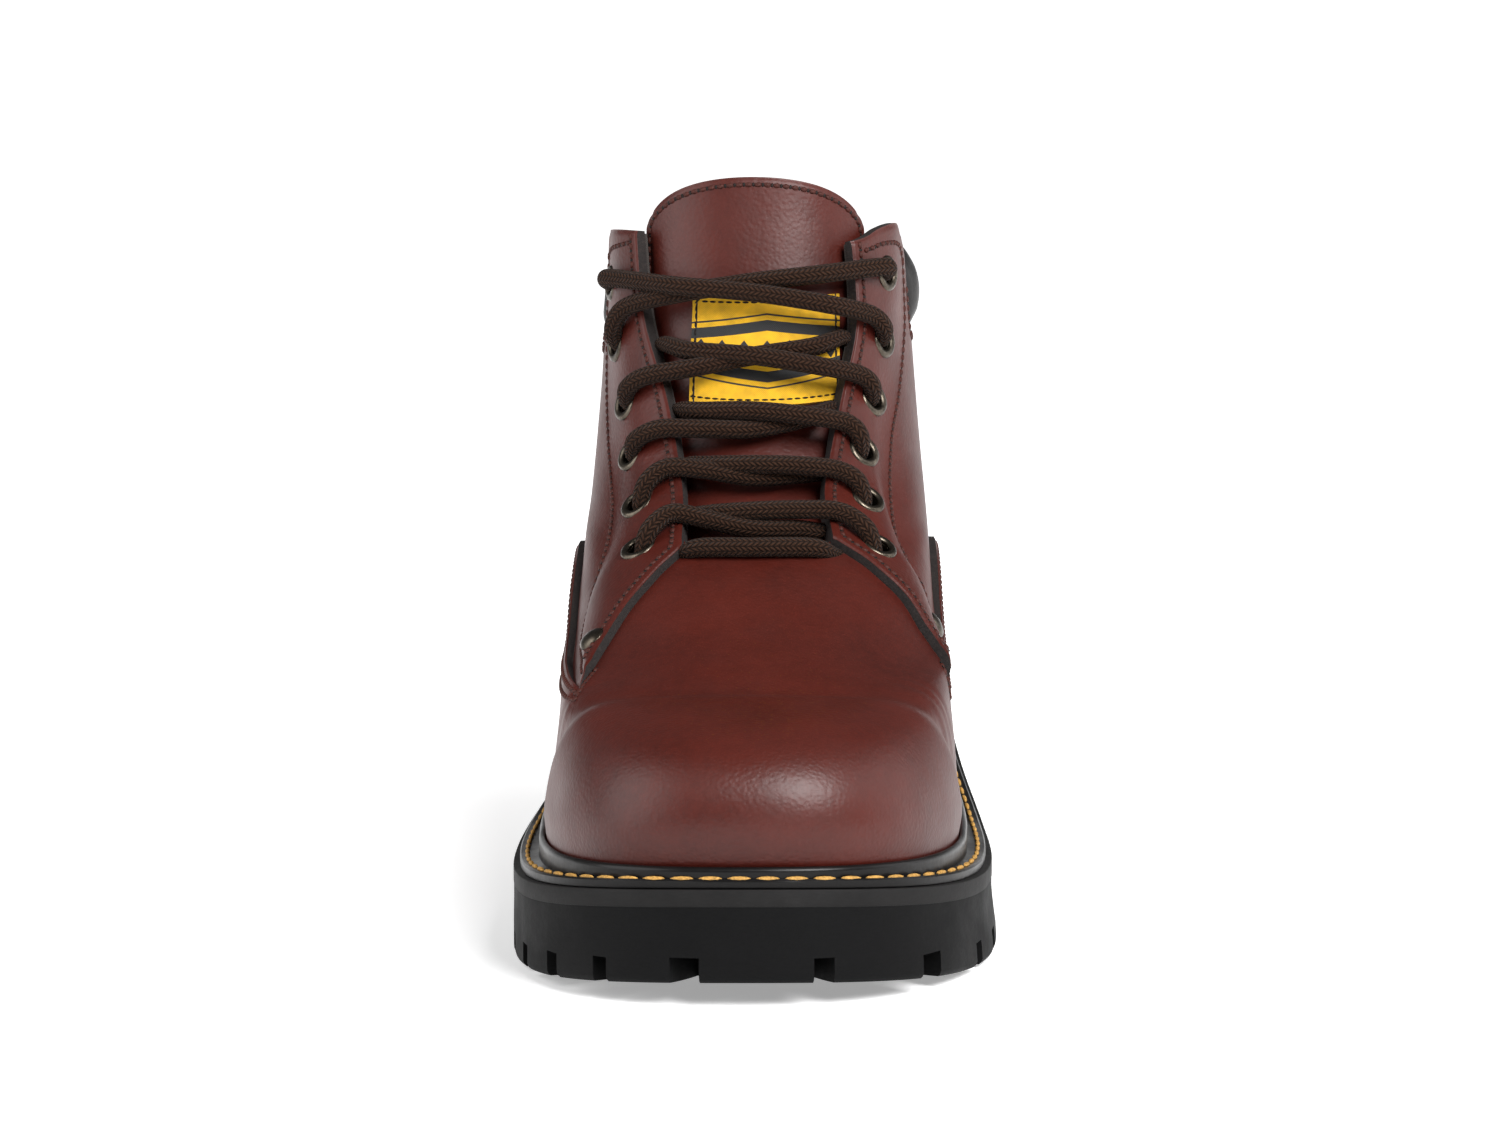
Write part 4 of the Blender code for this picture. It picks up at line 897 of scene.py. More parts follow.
def quarter_grid(side, across, up):
    """Round, ring and lift of a quarter: across from the throat edge (0) to the heel (1)."""
    across, up = np.broadcast_arrays(across, up)
    front = across <= QUARTER_SEAM
    fore, aft = across / QUARTER_SEAM, (across - QUARTER_SEAM) / (1 - QUARTER_SEAM)
    fore, aft = np.clip(fore, 0, 1), np.clip(aft, 0, 1)

    def by_seam(throat, middle):
        return np.where(front, throat + (middle - throat) * fore, middle + (1 - middle) * aft)

    (throat, throat_foot), (tip, tip_foot) = FLAP_EDGE[side][0], FLAP_EDGE[side][-1]
    (throat_back, throat_top), (outer_back, outer_top) = THROAT[side][-1], OUTER_ROW[side][-1]
    line_round = by_seam(throat, tip)
    tucked = seam(WING_EDGE[side], line_round) - WING_TUCK * ease((line_round - tip) / 0.07)
    line = np.where(front, seam(FLAP_EDGE[side], line_round), tucked)
    top = seam(TOP_LINE[side], by_seam(throat_back, outer_back))
    rings = line + (top - line) * up
    start = seam(THROAT[side], throat_foot + (throat_top - throat_foot) * up, True)
    middle = seam(OUTER_ROW[side], tip_foot + (outer_top - tip_foot) * up, True)
    low_fade = ease((0.545 - across) / 0.09)
    high_fade = ease((tip * 1.02 - line_round) / (0.45 * tip))
    blend = ease(up / 0.4)
    lift = LEATHER * (2 - up) * (low_fade * (1 - blend) + high_fade * blend)
    lift = lift + sizes().flap_edge * low_fade * ease(1 - up / 0.25)
    return by_seam(start, middle), rings, lift


def rounded_edge(shares, width):
    """Drop of a cut edge near either end of a run of shares."""
    return EDGE_DROP * (np.exp(-(shares / width) ** 2) + np.exp(-((1 - shares) / width) ** 2))


def turned(side, grid):
    """A medial grid is turned round, so that its faces point outwards."""
    return grid[:, ::-1] if side < 0 else grid


def set_down(outer, inner):
    """Sets the lowest row of a lasted sheet down on the seat."""
    outer[0, :, 2] = inner[0, :, 2] = seat_height(outer[0, :, 1] + LENGTH / 2) + GAP


def leather_sheet(name, outer, inner):
    return sheet(name, outer, inner, [finish_of("leather"), finish_of("edge")])


def build_quarter(side):
    fore = QUARTER_SEAM * spaced(70, 0.8)
    aft = QUARTER_SEAM + (1 - QUARTER_SEAM) * np.linspace(0, 1, 150)[1:] ** 1.35
    across = np.concatenate([fore, aft])[None, :]
    up = spaced(110, 0.88)[:, None]
    rounds, rings, lift = quarter_grid(side, across, up)
    lift = lift - rounded_edge(up, 0.008) - EDGE_DROP * np.exp(-(across / 0.008) ** 2)
    outer, inner = (turned(side, on_last(side * rounds, rings, off)) for off in (lift, QUARTER_INSIDE))
    item = leather_sheet("quarter_" + SIDES[side], outer, inner)
    tree = surface_of(item)
    bores = bmesh.new()
    for hole_round, hole_ring in EYELETS[side]:
        place, out = on_last(side * hole_round, hole_ring, 0.0, True)
        seat, out = snapped(tree, [place], [out])
        turn = Vector((0, 0, 1)).rotation_difference(Vector(out[0])).to_matrix().to_4x4()
        bmesh.ops.create_cone(bores, cap_ends=True, segments=24, radius1=EYELET_HOLE, radius2=EYELET_HOLE,
                              depth=14 * MM, matrix=Matrix.Translation(seat[0]) @ turn)
    cut_away(item, from_bmesh("bores", bores))
    return item


def vamp_line(rounds):
    """Upper edge of the vamp: under the tongue's foot, tucked under the flaps, then the wing's own edge."""
    turn = np.abs(rounds)
    result = np.zeros_like(rounds)
    for side in (-1, 1):
        throat, tip = FLAP_EDGE[side][0][0], FLAP_EDGE[side][-1][0]
        share = np.clip((turn - throat) / (tip - throat), 0, 1)
        under = seam(FLAP_EDGE[side], turn) + (1 - share ** 3)
        low = VAMP_TOP + 0.15 * np.clip(turn / throat, 0, 1) ** 2
        flap = low + (under - low) * ease((turn - throat) / 0.03)
        ring = np.where(turn < tip, flap, seam(WING_EDGE[side], turn))
        result = np.where((rounds < 0) == (side < 0), ring, result)
    return result


def vamp_columns():
    """Where each column starts at the feather edge and where it crosses the upper edge."""
    foot, crossing = [], []
    for side in (-1, 1):
        throat, tip = FLAP_EDGE[side][0][0], FLAP_EDGE[side][-1][0]
        knots = np.array([0, 0.12, 0.36, 0.44, 1.0])
        places = np.array([0, throat, tip, tip + 0.055, VAMP_BACK])
        run = np.concatenate([np.linspace(0, 0.36, 70), np.linspace(0.36, 1.0, 110)[1:]])
        foot.append(side * run * VAMP_BACK)
        crossing.append(side * np.interp(run, knots, places))
    return [np.concatenate([halves[0][::-1], halves[1][1:]]) for halves in (foot, crossing)]


def build_vamp():
    foot, crossing = vamp_columns()
    up = (1 - (1 - np.linspace(0, 1, 96)) ** 1.35)[:, None]
    rings = vamp_line(crossing)[None, :] * up
    rounds = foot + (crossing - foot) * ease(up)
    tip = np.where(crossing < 0, FLAP_EDGE[-1][-1][0], FLAP_EDGE[1][-1][0])
    wing = ease((np.abs(crossing) - tip) / 0.02) * ease((up - 0.5) / 0.4)
    lift = LEATHER + WING_RISE * wing - WING_SKIVE * ease((np.abs(rounds) - 0.655) / 0.03)
    lift = lift - 0.4 * MM * np.exp(-((1 - up) / 0.008) ** 2) * wing
    lift = lift + flex_creases(on_last(rounds, rings, LEATHER))
    outer, inner = on_last(rounds, rings, lift), on_last(rounds, rings, VAMP_INSIDE)
    set_down(outer, inner)
    return leather_sheet("vamp", outer, inner)


# Side, place along, place out, height, half length, width, depth and lean of each crease
CREASES = [(1, 78, 37, 52, 13, 2.0, 0.40, 0.5), (1, 83, 40, 50, 11, 1.8, 0.35, 0.55),
           (1, 72, 41, 47, 9, 1.6, 0.30, 0.6), (-1, 80, 39, 50, 12, 2.2, 0.35, 0.5),
           (-1, 74, 42, 46, 9, 1.8, 0.25, 0.6)]


def flex_creases(places):
    """Soft troughs behind the toe cap, each listed with its own place."""
    depth = np.zeros(places.shape[:2])
    for side, along, out, up, half, width, deep, lean in CREASES:
        off = places - np.array([side * out * MM, along * MM - LENGTH / 2, up * MM])
        run = off[..., 0] * side * 0.8 - off[..., 2] * 0.6
        cross = off[..., 1] + lean * off[..., 0] * side * 0.35
        depth -= deep * MM * np.exp(-(cross / (width * MM)) ** 2) * np.exp(-(run / (half * MM)) ** 2)
    return depth


def build_counter():
    across = np.linspace(-1, 1, 150)[None, :]
    up = (1 - (1 - np.linspace(0, 1, 60)) ** 1.35)[:, None]
    reach = (1 - COUNTER_FRONT + 0.05) - 0.05 * up
    rounds = 1 + across * reach
    turn = 1 - np.abs(across) * (1 - COUNTER_FRONT)
    rings = seam(WING_EDGE[1], np.maximum(turn, COUNTER_EDGE)) * up
    edge = rounded_edge((across + 1) / 2, 0.01) + EDGE_DROP * np.exp(-((1 - up) / 0.012) ** 2)
    outer = on_last(rounds, rings, LEATHER + COUNTER_THICK - edge)
    inner = on_last(rounds, rings, COUNTER_INSIDE)
    set_down(outer, inner)
    return leather_sheet("heel_counter", outer, inner)


def build_backstay():
    across = spaced(24, 0.6)[None, :]
    rounds = BACKSTAY_START + BACKSTAY_SPAN * across
    rings = BACKSTAY_FOOT + (BACKSTAY_TOP - BACKSTAY_FOOT) * np.linspace(0, 1, 50)[:, None]
    outer = on_last(rounds, rings, BACKSTAY_THICK - rounded_edge(across, 0.06))
    return leather_sheet("backstay", outer, on_last(rounds, rings, -0.4 * MM))


def build_lining():
    cloth = [finish_of("lining")]
    parts = []
    fore = QUARTER_SEAM * np.linspace(0, 1, 30)
    aft = QUARTER_SEAM + (1 - QUARTER_SEAM) * np.linspace(0, 1, 70)[1:]
    across = np.concatenate([fore, aft])[None, :] * 0.996 + 0.004
    up = np.linspace(0, 0.992, 60)[:, None]
    for side in (-1, 1):
        rounds, rings, _ = quarter_grid(side, across, up)
        outer, inner = (turned(side, on_last(side * rounds, rings, off)) for off in (LINING_OUTSIDE, -WALL))
        parts.append(sheet("lining_part", outer, inner, cloth))
    columns = np.linspace(-1, 1, 260)[:-1][None, :]
    heel_line = seam(WING_EDGE[1], np.maximum(np.abs(columns), COUNTER_EDGE)) - LINING_BELOW_EDGE
    line = np.where(np.abs(columns) < VAMP_BACK, np.minimum(vamp_line(columns), LINING_TOP), heel_line)
    rings = line * np.linspace(0, 1, 50)[:, None]
    outer, inner = on_last(columns, rings, COUNTER_INSIDE), on_last(columns, rings, -WALL - 0.05 * MM)
    set_down(outer, inner)
    parts.append(sheet("lining_part", outer, inner, cloth, wrap=True))
    return joined("lining", parts)


def joined(name, parts):
    """Several meshes as one piece."""
    whole = bmesh.new()
    for part in parts:
        whole.from_mesh(part.data)
    item = from_bmesh(name, whole)
    for material in parts[0].data.materials:
        item.data.materials.append(material)
    for part in parts:
        bpy.data.objects.remove(part)
    return item


# Tongue

def tongue_grid(across, up):
    half = TONGUE_NARROW + (TONGUE_WIDE - TONGUE_NARROW) * ease(up * 1.05)
    top = TONGUE_TOP + TONGUE_ARCH * np.clip(1 - across ** 2, 0, 1) ** 0.65
    return half * across, TONGUE_FOOT + (top - TONGUE_FOOT) * up


def build_tongue():
    across = (2 * spaced(90, 0.8) - 1)[None, :]
    up = (1 - (1 - np.linspace(0, 1, 110)) ** 1.5)[:, None]
    rounds, rings = tongue_grid(across, up)
    rim = 0.5 + 0.5 * np.sqrt(np.clip(1 - across ** 8, 0, 1))
    drop = 0.5 * MM * (np.exp(-((1 - up) / 0.008) ** 2) + np.exp(-((1 - np.abs(across)) / 0.012) ** 2))
    hem = 0.25 * MM * np.exp(-((1 - np.abs(across) - 0.075) / 0.02) ** 2)
    sway = 0.5 * MM * np.sin(up * 9.0 + across * 1.5) * (1 - across ** 2)
    outer = on_last(rounds, rings, TONGUE_FACE - drop - hem + sway)
    inner = on_last(rounds, rings, TONGUE_FACE - TONGUE_THICK * rim)
    return leather_sheet("tongue_leather", outer, inner)


def build_label():
    rounds, rings = np.linspace(*LABEL_ROUNDS, 50)[None, :], np.linspace(*LABEL_RINGS, 40)[:, None]
    base = TONGUE_FACE + LABEL_LIFT
    across, up = np.linspace(0, 1, 50)[None, :], np.linspace(0, 1, 40)[:, None]
    bow = 0.35 * MM * np.sin(up * 5.0 + across * 3.0)
    outer = on_last(rounds, rings, base + LABEL_THICK + bow)
    inner = on_last(rounds, rings, base - LABEL_SUNK)
    return sheet("woven_label_patch", outer, inner, [finish_of("label")] * 2, uv=True)


# Collar

def collar_sections(stations, shrink):
    """Sections of the padding, each from the shaft's edge outwards, over the top and down inside."""
    inside, thin, thick = WALL + 0.5 * MM, 2.5 * MM, 9.5 * MM
    loops = []
    for place in np.linspace(PAD_START, 2 - PAD_START, stations):
        signed = place if place <= 1 else place - 2
        side = 1 if signed > 0 else -1
        fade = float(ease(min(place - PAD_START, 2 - PAD_START - place) / 0.05))
        edge = float(seam(TOP_LINE[side], abs(signed)))
        rise = max(edge + 0.25, PAD_TOP - 0.25 * (1 - fade)) - edge
        fuller = sizes().collar_swell
        if side < 0:
            fuller = fuller * ease((abs(signed) - 0.62) / 0.25) - 0.9 * MM
        swell = 0.4 * MM + (fuller - shrink) * fade
        deep = inside + thin + (thick - thin - shrink) * fade
        section = np.array([
            (edge + 0.06, -inside), (edge + 0.06, 0.3 * MM), (edge + rise * 0.30, swell),
            (edge + rise * 0.65, swell * 0.8), (edge + rise, -0.25 * deep), (edge + rise, -0.6 * deep),
            (edge + rise * 0.4, -0.95 * deep), (edge - 0.5, -deep), (edge - 1.1, -0.75 * deep),
            (edge - 1.25, -inside)])
        ringed = np.concatenate([section, section[:1]])
        fine = smooth_table(ringed, np.linspace(0, len(section), 31))[:-1]
        loops.append(on_last(signed, fine[:, 0], fine[:, 1]))
    return np.array(loops)


def points_of(mesh):
    flat = np.zeros(len(mesh.vertices) * 3)
    mesh.vertices.foreach_get("co", flat)
    return flat.reshape(-1, 3)


def swell_pad(item):
    """Inflates the padding with a short cloth simulation, its moves capped."""
    frames, cap = 20, 1.6 * MM
    remesh = item.modifiers.new("remesh", "REMESH")
    remesh.mode = "VOXEL"
    remesh.voxel_size = 2.6 * MM
    remesh.use_smooth_shade = True
    item.data = frozen(item)
    item.modifiers.clear()
    rest = points_of(item.data)
    cloth = item.modifiers.new("pad", "CLOTH")
    cloth.settings.use_pressure = True
    cloth.settings.uniform_pressure_force = 3.0
    cloth.settings.effector_weights.gravity = 0
    cloth.settings.quality = 5
    cloth.point_cache.frame_start = 1
    cloth.point_cache.frame_end = frames
    scene = bpy.context.scene
    for number in range(1, frames + 1):
        scene.frame_set(number)
    settled = frozen(item)
    item.modifiers.clear()
    scene.frame_set(1)
    move = points_of(settled) - rest
    size = np.linalg.norm(move, axis=1, keepdims=True)
    move = move * np.minimum(1.0, cap / np.maximum(size, 1e-9))
    item.data.vertices.foreach_set("co", (rest + move).ravel())
    item.data.update()
    bpy.data.meshes.remove(settled)


def build_collar():
    item = loft("padded_collar", collar_sections(150, 0.8 * MM), [finish_of("padding")], closed=False)
    swell_pad(item)
    smooth = item.modifiers.new("smooth", "SUBSURF")
    smooth.levels = smooth.render_levels = 1
    item.data = frozen(item)
    item.modifiers.clear()
    item.data.name = "padded_collar"
    if not item.data.materials:
        item.data.materials.append(finish_of("padding"))
    item.data.shade_smooth()
    return item


# Sole

def sole_outline(steps, less, more=0.0):
    """Closed outline from the toe by the lateral side to the heel and back."""
    back = LENGTH - less
    across, along = half_outline(less, back, SOLE_LATERAL - less + more, *SOLE_ROUND, 0.045, steps)
    medial = half_outline(less, back, SOLE_MEDIAL - less, *SOLE_ROUND, 0.14, 4 * steps)
    facing = np.interp(along, medial[1], medial[0])
    out = np.concatenate([across, -facing[1:-1][::-1]])
    along = np.concatenate([along, along[1:-1][::-1]])
    return np.stack([out + toe_swing(along), along - LENGTH / 2], axis=1)


def slab(name, levels, materials):
    """A slab from stacked outlines, closed below and above by strips from side to side."""
    count = levels[0].shape[0]
    half = count // 2
    faces = []
    for step in range(len(levels) - 1):
        low, high = step * count, (step + 1) * count
        for index in range(count):
            beside = (index + 1) % count
            faces.append((low + index, low + beside, high + beside, high + index))
    for base, flip in ((0, True), ((len(levels) - 1) * count, False)):
        for index in range(half):
            left, left_next = (count - index) % count, (count - index - 1) % count
            corners = [index, index + 1, left_next, left]
            if index == 0:
                corners = [0, 1, count - 1]
            if index == half - 1:
                corners = [index, half, left]
            corners = [base + corner for corner in corners]
            faces.append(tuple(corners[::-1] if flip else corners))
    item = add_mesh(name, np.concatenate(levels), faces, materials, 35)
    face_outwards(item)
    return item


def outsole_top(along):
    return seat_height(along) - MIDSOLE_THICK - SEAT_CLEAR


def shank_arch():
    """Block that hollows the tread between its front part and the heel."""
    front, back = ARCH_FRONT * LENGTH - LENGTH / 2, ARCH_BACK * LENGTH - LENGTH / 2
    reach, below = 90 * MM, -5 * MM
    profile = [(front, below), (front + 5 * MM, LUG_DEPTH), (front + 26 * MM, ARCH_RISE),
               (back - 7 * MM, ARCH_RISE), (back, LUG_DEPTH * 0.5), (back + 1 * MM, below)]
    loops = np.array([[(side * reach, along, up) for along, up in profile] for side in (-1, 1)])
    return loft("arch", loops, [], closed=False)


def groove_seats():
    """Middle, size and turn of every groove in the tread."""
    steps = 28
    outline = sole_outline(steps, 0.0, SOLE_FLARE)
    count = len(outline)
    places, widths, turns = [], [], []
    for side in (1, -1):
        for share, width in GROOVES[side]:
            place = share * steps if side > 0 else (count - share * steps) % count
            low = int(place)
            here, there = outline[low % count], outline[(low + 1) % count]
            point = here + (there - here) * (place - low)
            run = (there - here) / np.linalg.norm(there - here)
            inward = np.array([-run[1], run[0]])
            middle = point + inward * (GROOVE_REACH / 2 - 3 * MM)
            places.append((*middle, tread_height(point[1] + LENGTH / 2)))
            widths.append((GROOVE_REACH, width * MM, 1.0))
            turns.append((0.0, 0.0, math.atan2(inward[1], inward[0])))
    for length, shares in MIDDLE_GROOVES.items():
        for along in (share * LENGTH for share in shares):
            places.append((toe_swing(along), along - LENGTH / 2, tread_height(along)))
            widths.append((length * MM, MIDDLE_GROOVE_WIDTH, 1.0))
            turns.append((0.0, 0.0, 0.0))
    return places, widths, turns


def build_outsole():
    levels = []
    for share, less, flare in ((0.0, 0.9, 1.0), (0.03, 0.3, 1.0), (0.08, 0.0, 1.0), (0.25, 0.0, 0.85),
                               (0.42, 0.0, 0.5), (0.62, 0.05, 0.2), (0.80, 0.1, 0.0), (1.0, 0.1, 0.0)):
        outline = sole_outline(150, less * MM, flare * SOLE_FLARE)
        along = outline[:, 1] + LENGTH / 2
        low = tread_height(along)
        levels.append(np.column_stack([outline, low + (outsole_top(along) - low) * share]))
    item = slab("lugged_outsole", levels, [finish_of("rubber")])
    cut_away(item, shank_arch())
    places, widths, turns = groove_seats()
    cut_away(item, repeated("tread_grooves", "groove", [places], finish_of("rubber"),
                            {"size": [widths], "turn": [turns]}))
    item.data.shade_smooth()
    item.data.set_sharp_from_angle(angle=math.radians(32))
    return item


def build_midsole():
    levels = []
    for share, less in ((0.0, 0.12), (0.05, 0.0), (0.5, 0.0), (0.90, 0.0), (0.97, 0.1), (1.0, 0.3)):
        outline = sole_outline(170, less * MM)
        top = seat_height(outline[:, 1] + LENGTH / 2)
        levels.append(np.column_stack([outline, top - MIDSOLE_THICK * (1 - share)]))
    return slab("midsole_band", levels, [finish_of("midsole")])


def share_round(index, steps):
    """Signed share round the last of a point on the sole's outline."""
    return index / steps if index <= steps else index / steps - 2


def welt_section(share, rim):
    """The deck from the upper to the rim and the bead that hugs the upper."""
    clear = LEATHER + WELT_CLEAR
    foot, bead_in = on_last(share, 0.0, clear), on_last(share, BEAD_RING, clear)
    seat = float(seat_height(rim[1] + LENGTH / 2)) + SEAT_CLEAR
    inner_seat = float(seat_height(foot[1] + LENGTH / 2)) + SEAT_CLEAR
    across = rim - foot[:2]
    across = across / np.linalg.norm(across)
    centre = np.array([*(bead_in[:2] + across * 1.05 * MM), bead_in[2] - 0.5 * MM])
    bead_out = bead_in[:2] + across * BEAD_REACH
    top, inner_top = seat + WELT_THICK, inner_seat + WELT_THICK
    points = [(*foot[:2], inner_seat), (*(rim - across * 0.3 * MM), seat), (*rim, seat + 0.3 * MM),
              (*rim, top - 0.4 * MM), (*(rim - across * 0.4 * MM), top),
              (*(bead_out + across * 1.0 * MM), inner_top + (seat - inner_seat) * 0.2),
              (*bead_out, inner_top + 0.3 * MM)]
    for angle in np.linspace(0.62 * math.pi, -0.25 * math.pi, 9):
        points.append((*(centre[:2] + across * BEAD_RADIUS * math.sin(angle)),
                       centre[2] + BEAD_RADIUS * math.cos(angle)))
    points.append(tuple(on_last(share, 0.25, clear)))
    return points


def build_welt():
    steps = 170
    loops = [welt_section(share_round(index, steps), rim)
             for index, rim in enumerate(sole_outline(steps, WELT_SETBACK))]
    return loft("storm_welt", np.array(loops), [finish_of("welt")])


def welt_stitches():
    """Lockstitch along the middle of the deck, tilted outwards."""
    steps = 300
    outline = sole_outline(steps, WELT_SETBACK)
    tilts = np.ones((len(outline), 3))
    for index, rim in enumerate(outline):
        across = rim - on_last(share_round(index, steps), BEAD_RING, LEATHER + WELT_CLEAR)[:2]
        width = np.linalg.norm(across)
        inset_by = np.clip((width - BEAD_REACH) * 0.5, 0.8 * MM, 2.2 * MM)
        outline[index] = rim - across / width * inset_by
        tilts[index, :2] = across / width * 0.7
    places = np.column_stack([outline, seat_height(outline[:, 1] + LENGTH / 2) + WELT_THICK + 0.15 * MM])
    places, outs = np.concatenate([places, places[:1]]), np.concatenate([tilts, tilts[:1]])
    spacing = sizes().welt_stitch
    return repeated("welt_stitches", "stitch", [places], finish_of("gold"), {"out": [outs]},
                    Spacing=spacing, Length=spacing * 0.86, Width=1.3 * MM, Height=1.1 * MM)


# Seams of the upper

def quarter_path(side, across, up):
    rounds, rings, lift = quarter_grid(side, np.asarray(across, float), np.asarray(up, float))
    return on_last(side * rounds, rings, lift, True)


def evened(places, outs):
    """The same line in even steps, its corners rounded."""
    run = run_along(places)
    even = np.arange(0, run[-1], 0.8 * MM)
    places, outs = read_off(even, run, places), read_off(even, run, outs)
    for _ in range(8):
        places[1:-1] = (places[:-2] + 2 * places[1:-1] + places[2:]) / 4
    return places, outs


def throat_path(side, distance):
    """Line a set distance inside the throat edge and the flap's lower edge, from the top down to the tip."""
    up = np.linspace(0.985, 0.0, 160)
    down, outs_down = quarter_path(side, 0 * up, up)
    across = np.linspace(0.0, 0.40, 120)[1:]
    low, outs_low = quarter_path(side, across, 0 * across)
    places, outs = evened(np.concatenate([down, low]), np.concatenate([outs_down, outs_low]))
    return inset(places, outs, distance * side), outs


def seam_rows(side):
    """All thread rows on one side of the upper, as places and outward directions."""
    quarter = surface_of(PIECES["quarter_" + SIDES[side]])
    outer = np.linspace(0.962, 0.03, 200)
    top = np.linspace(0.075, 0.486, 60)
    collar = QUARTER_SEAM + (1 - QUARTER_SEAM) * np.linspace(0.05, 0.99, 160)
    paths = [throat_path(side, sizes().stitch_inset), quarter_path(side, 0 * outer + OUTER_ROW_AT, outer),
             quarter_path(side, top, 0 * top + FACING_TOP_AT),
             quarter_path(side, collar, 0 * collar + COLLAR_ROW_AT)]
    rows = [snapped(quarter, *path) for path in paths]
    vamp = surface_of(PIECES["vamp"], PIECES["heel_counter"])
    tip_round, tip_ring = FLAP_EDGE[side][-1]
    tip, tip_out = on_last(side * tip_round, tip_ring, LEATHER, True)
    below = on_last(side * tip_round, tip_ring - 1.0, LEATHER)
    drop = (below - tip) / np.linalg.norm(below - tip)
    for distance in WING_ROWS:
        rounds = np.linspace(COUNTER_FRONT, tip_round + 0.012, 260)
        wing, outs = on_last(side * rounds, seam(WING_EDGE[side], rounds), LEATHER, True)
        wing = inset(wing, outs, distance * side)
        leg_round = tip_round - 0.010 - distance * 3.0
        leg_ring = float(seam(FLAP_EDGE[side], leg_round)) - 0.25
        leg, leg_out = on_last(side * leg_round, leg_ring, LEATHER, True)
        corner = tip + drop * distance * 1.7
        away = (wing - corner) @ drop < -distance * 0.3
        places = np.concatenate([wing[away], [corner, (corner + leg) / 2, leg]])
        outs = np.concatenate([outs[away], [tip_out, tip_out, leg_out]])
        rows.append(snapped(vamp, places, outs))
    return rows


def heel_rows():
    rounds = np.linspace(COUNTER_EDGE, 2 - COUNTER_EDGE, 200)
    turn = np.where(rounds > 1, 2 - rounds, rounds)
    counter, stay = surface_of(PIECES["heel_counter"]), surface_of(PIECES["backstay"])
    places, outs = on_last(rounds, seam(WING_EDGE[1], turn), LEATHER + COUNTER_THICK, True)
    rings = np.linspace(8.6, 12.7, 60)
    rows = [snapped(counter, inset(places, outs, -distance), outs) for distance in COUNTER_ROWS]
    rows += [snapped(stay, *on_last(place, rings, BACKSTAY_THICK, True)) for place in BACKSTAY_ROWS]
    return rows


def tongue_row():
    across = np.concatenate([-np.ones(80), np.sin(np.linspace(-0.5, 0.5, 160)[1:-1] * math.pi), np.ones(80)])
    up = np.concatenate([np.linspace(0.2, 1, 80), np.ones(158), np.linspace(1, 0.2, 80)])
    places, outs = evened(*on_last(*tongue_grid(across, up), TONGUE_FACE, True))
    return snapped(surface_of(PIECES["tongue_leather"]), inset(places, outs, -TONGUE_ROW), outs)


def build_seams():
    """Thread of every row on the upper, painted shade for its needle holes, and the label's border."""
    rows = seam_rows(-1) + seam_rows(1) + heel_rows() + [tongue_row()]
    lines, outs = zip(*rows)
    spacing = sizes().stitch_spacing
    thread = repeated("upper_stitches", "stitch", lines, finish_of("thread"), {"out": outs}, Spacing=spacing,
                      Length=spacing * 0.84, Width=1.45 * MM, Height=1.15 * MM, Sink=0.05 * MM)
    # Painted shade: a small dark mark at each stitch's end stands for the shade in its needle hole.
    holes = repeated("needle_holes", "stitch", lines, finish_of("hole"), {"out": outs}, Spacing=spacing,
                     Length=0.9 * MM, Width=1.25 * MM, Height=0.36 * MM, Shift=0.5)
    border = np.concatenate([np.linspace(start, end, 40)
                             for start, end in zip(LABEL_SEAM, LABEL_SEAM[1:] + LABEL_SEAM[:1])])
    label = surface_of(PIECES["woven_label_patch"])
    line, out = snapped(label, *on_last(border[:, 0], border[:, 1], 0.0, True))
    black = repeated("label_stitches", "stitch", [line], finish_of("hole"), {"out": [out]},
                     Spacing=2.2 * MM, Length=1.9 * MM, Width=0.6 * MM, Height=0.5 * MM)
    return thread, holes, black


# Fittings

def seats(table, tree):
    """Where fittings sit: each is raised to the mean height of the surface under its rim."""
    touch, steps = 4.2 * MM, 8
    places, outs = [], []
    for side in (-1, 1):
        for rounds, ring in table[side]:
            place, out = on_last(side * rounds, ring, 0.0, True)
            aside = Vector(out).orthogonal().normalized()
            rim = [Vector(place) + Matrix.Rotation(step * math.tau / steps, 3, Vector(out)) @ aside * touch
                   for step in range(steps)]
            touched, _ = snapped(tree, rim, [out] * steps)
            places.append(place + out * np.mean((touched - place) @ out))
            outs.append(out)
    return places, outs


def braid_tube(name, route, radii):
    """A lace along a route of points with a radius each, its length and turn kept as UV."""
    rows = drawn(np.column_stack([route, radii]), 0.8 * MM)
    path, radius = rows[:, :3], rows[:, 3]
    along = np.gradient(path, axis=0)
    along /= np.linalg.norm(along, axis=1, keepdims=True)
    side = np.cross(along[0], (0, 0, 1.0))
    side /= np.linalg.norm(side)
    turns = np.linspace(0, 2 * math.pi, 24, endpoint=False)[:, None]
    loops = []
    for place, forward, size in zip(path, along, radius):
        side = side - forward * (side @ forward)
        side /= np.linalg.norm(side)
        loops.append(place + size * (np.cos(turns) * side + np.sin(turns) * np.cross(forward, side)))
    return loft(name, np.array(loops), [finish_of("lace")], closed=False, uv=True, lengths=run_along(path))


def facing_spot(tree, side, rounds, ring, lift):
    place, out = on_last(side * rounds, ring, 0.0, True)
    return snapped(tree, [place], [out], lift)[0][0]


def throat_at(side, ring):
    return float(seam(THROAT[side], ring, True))


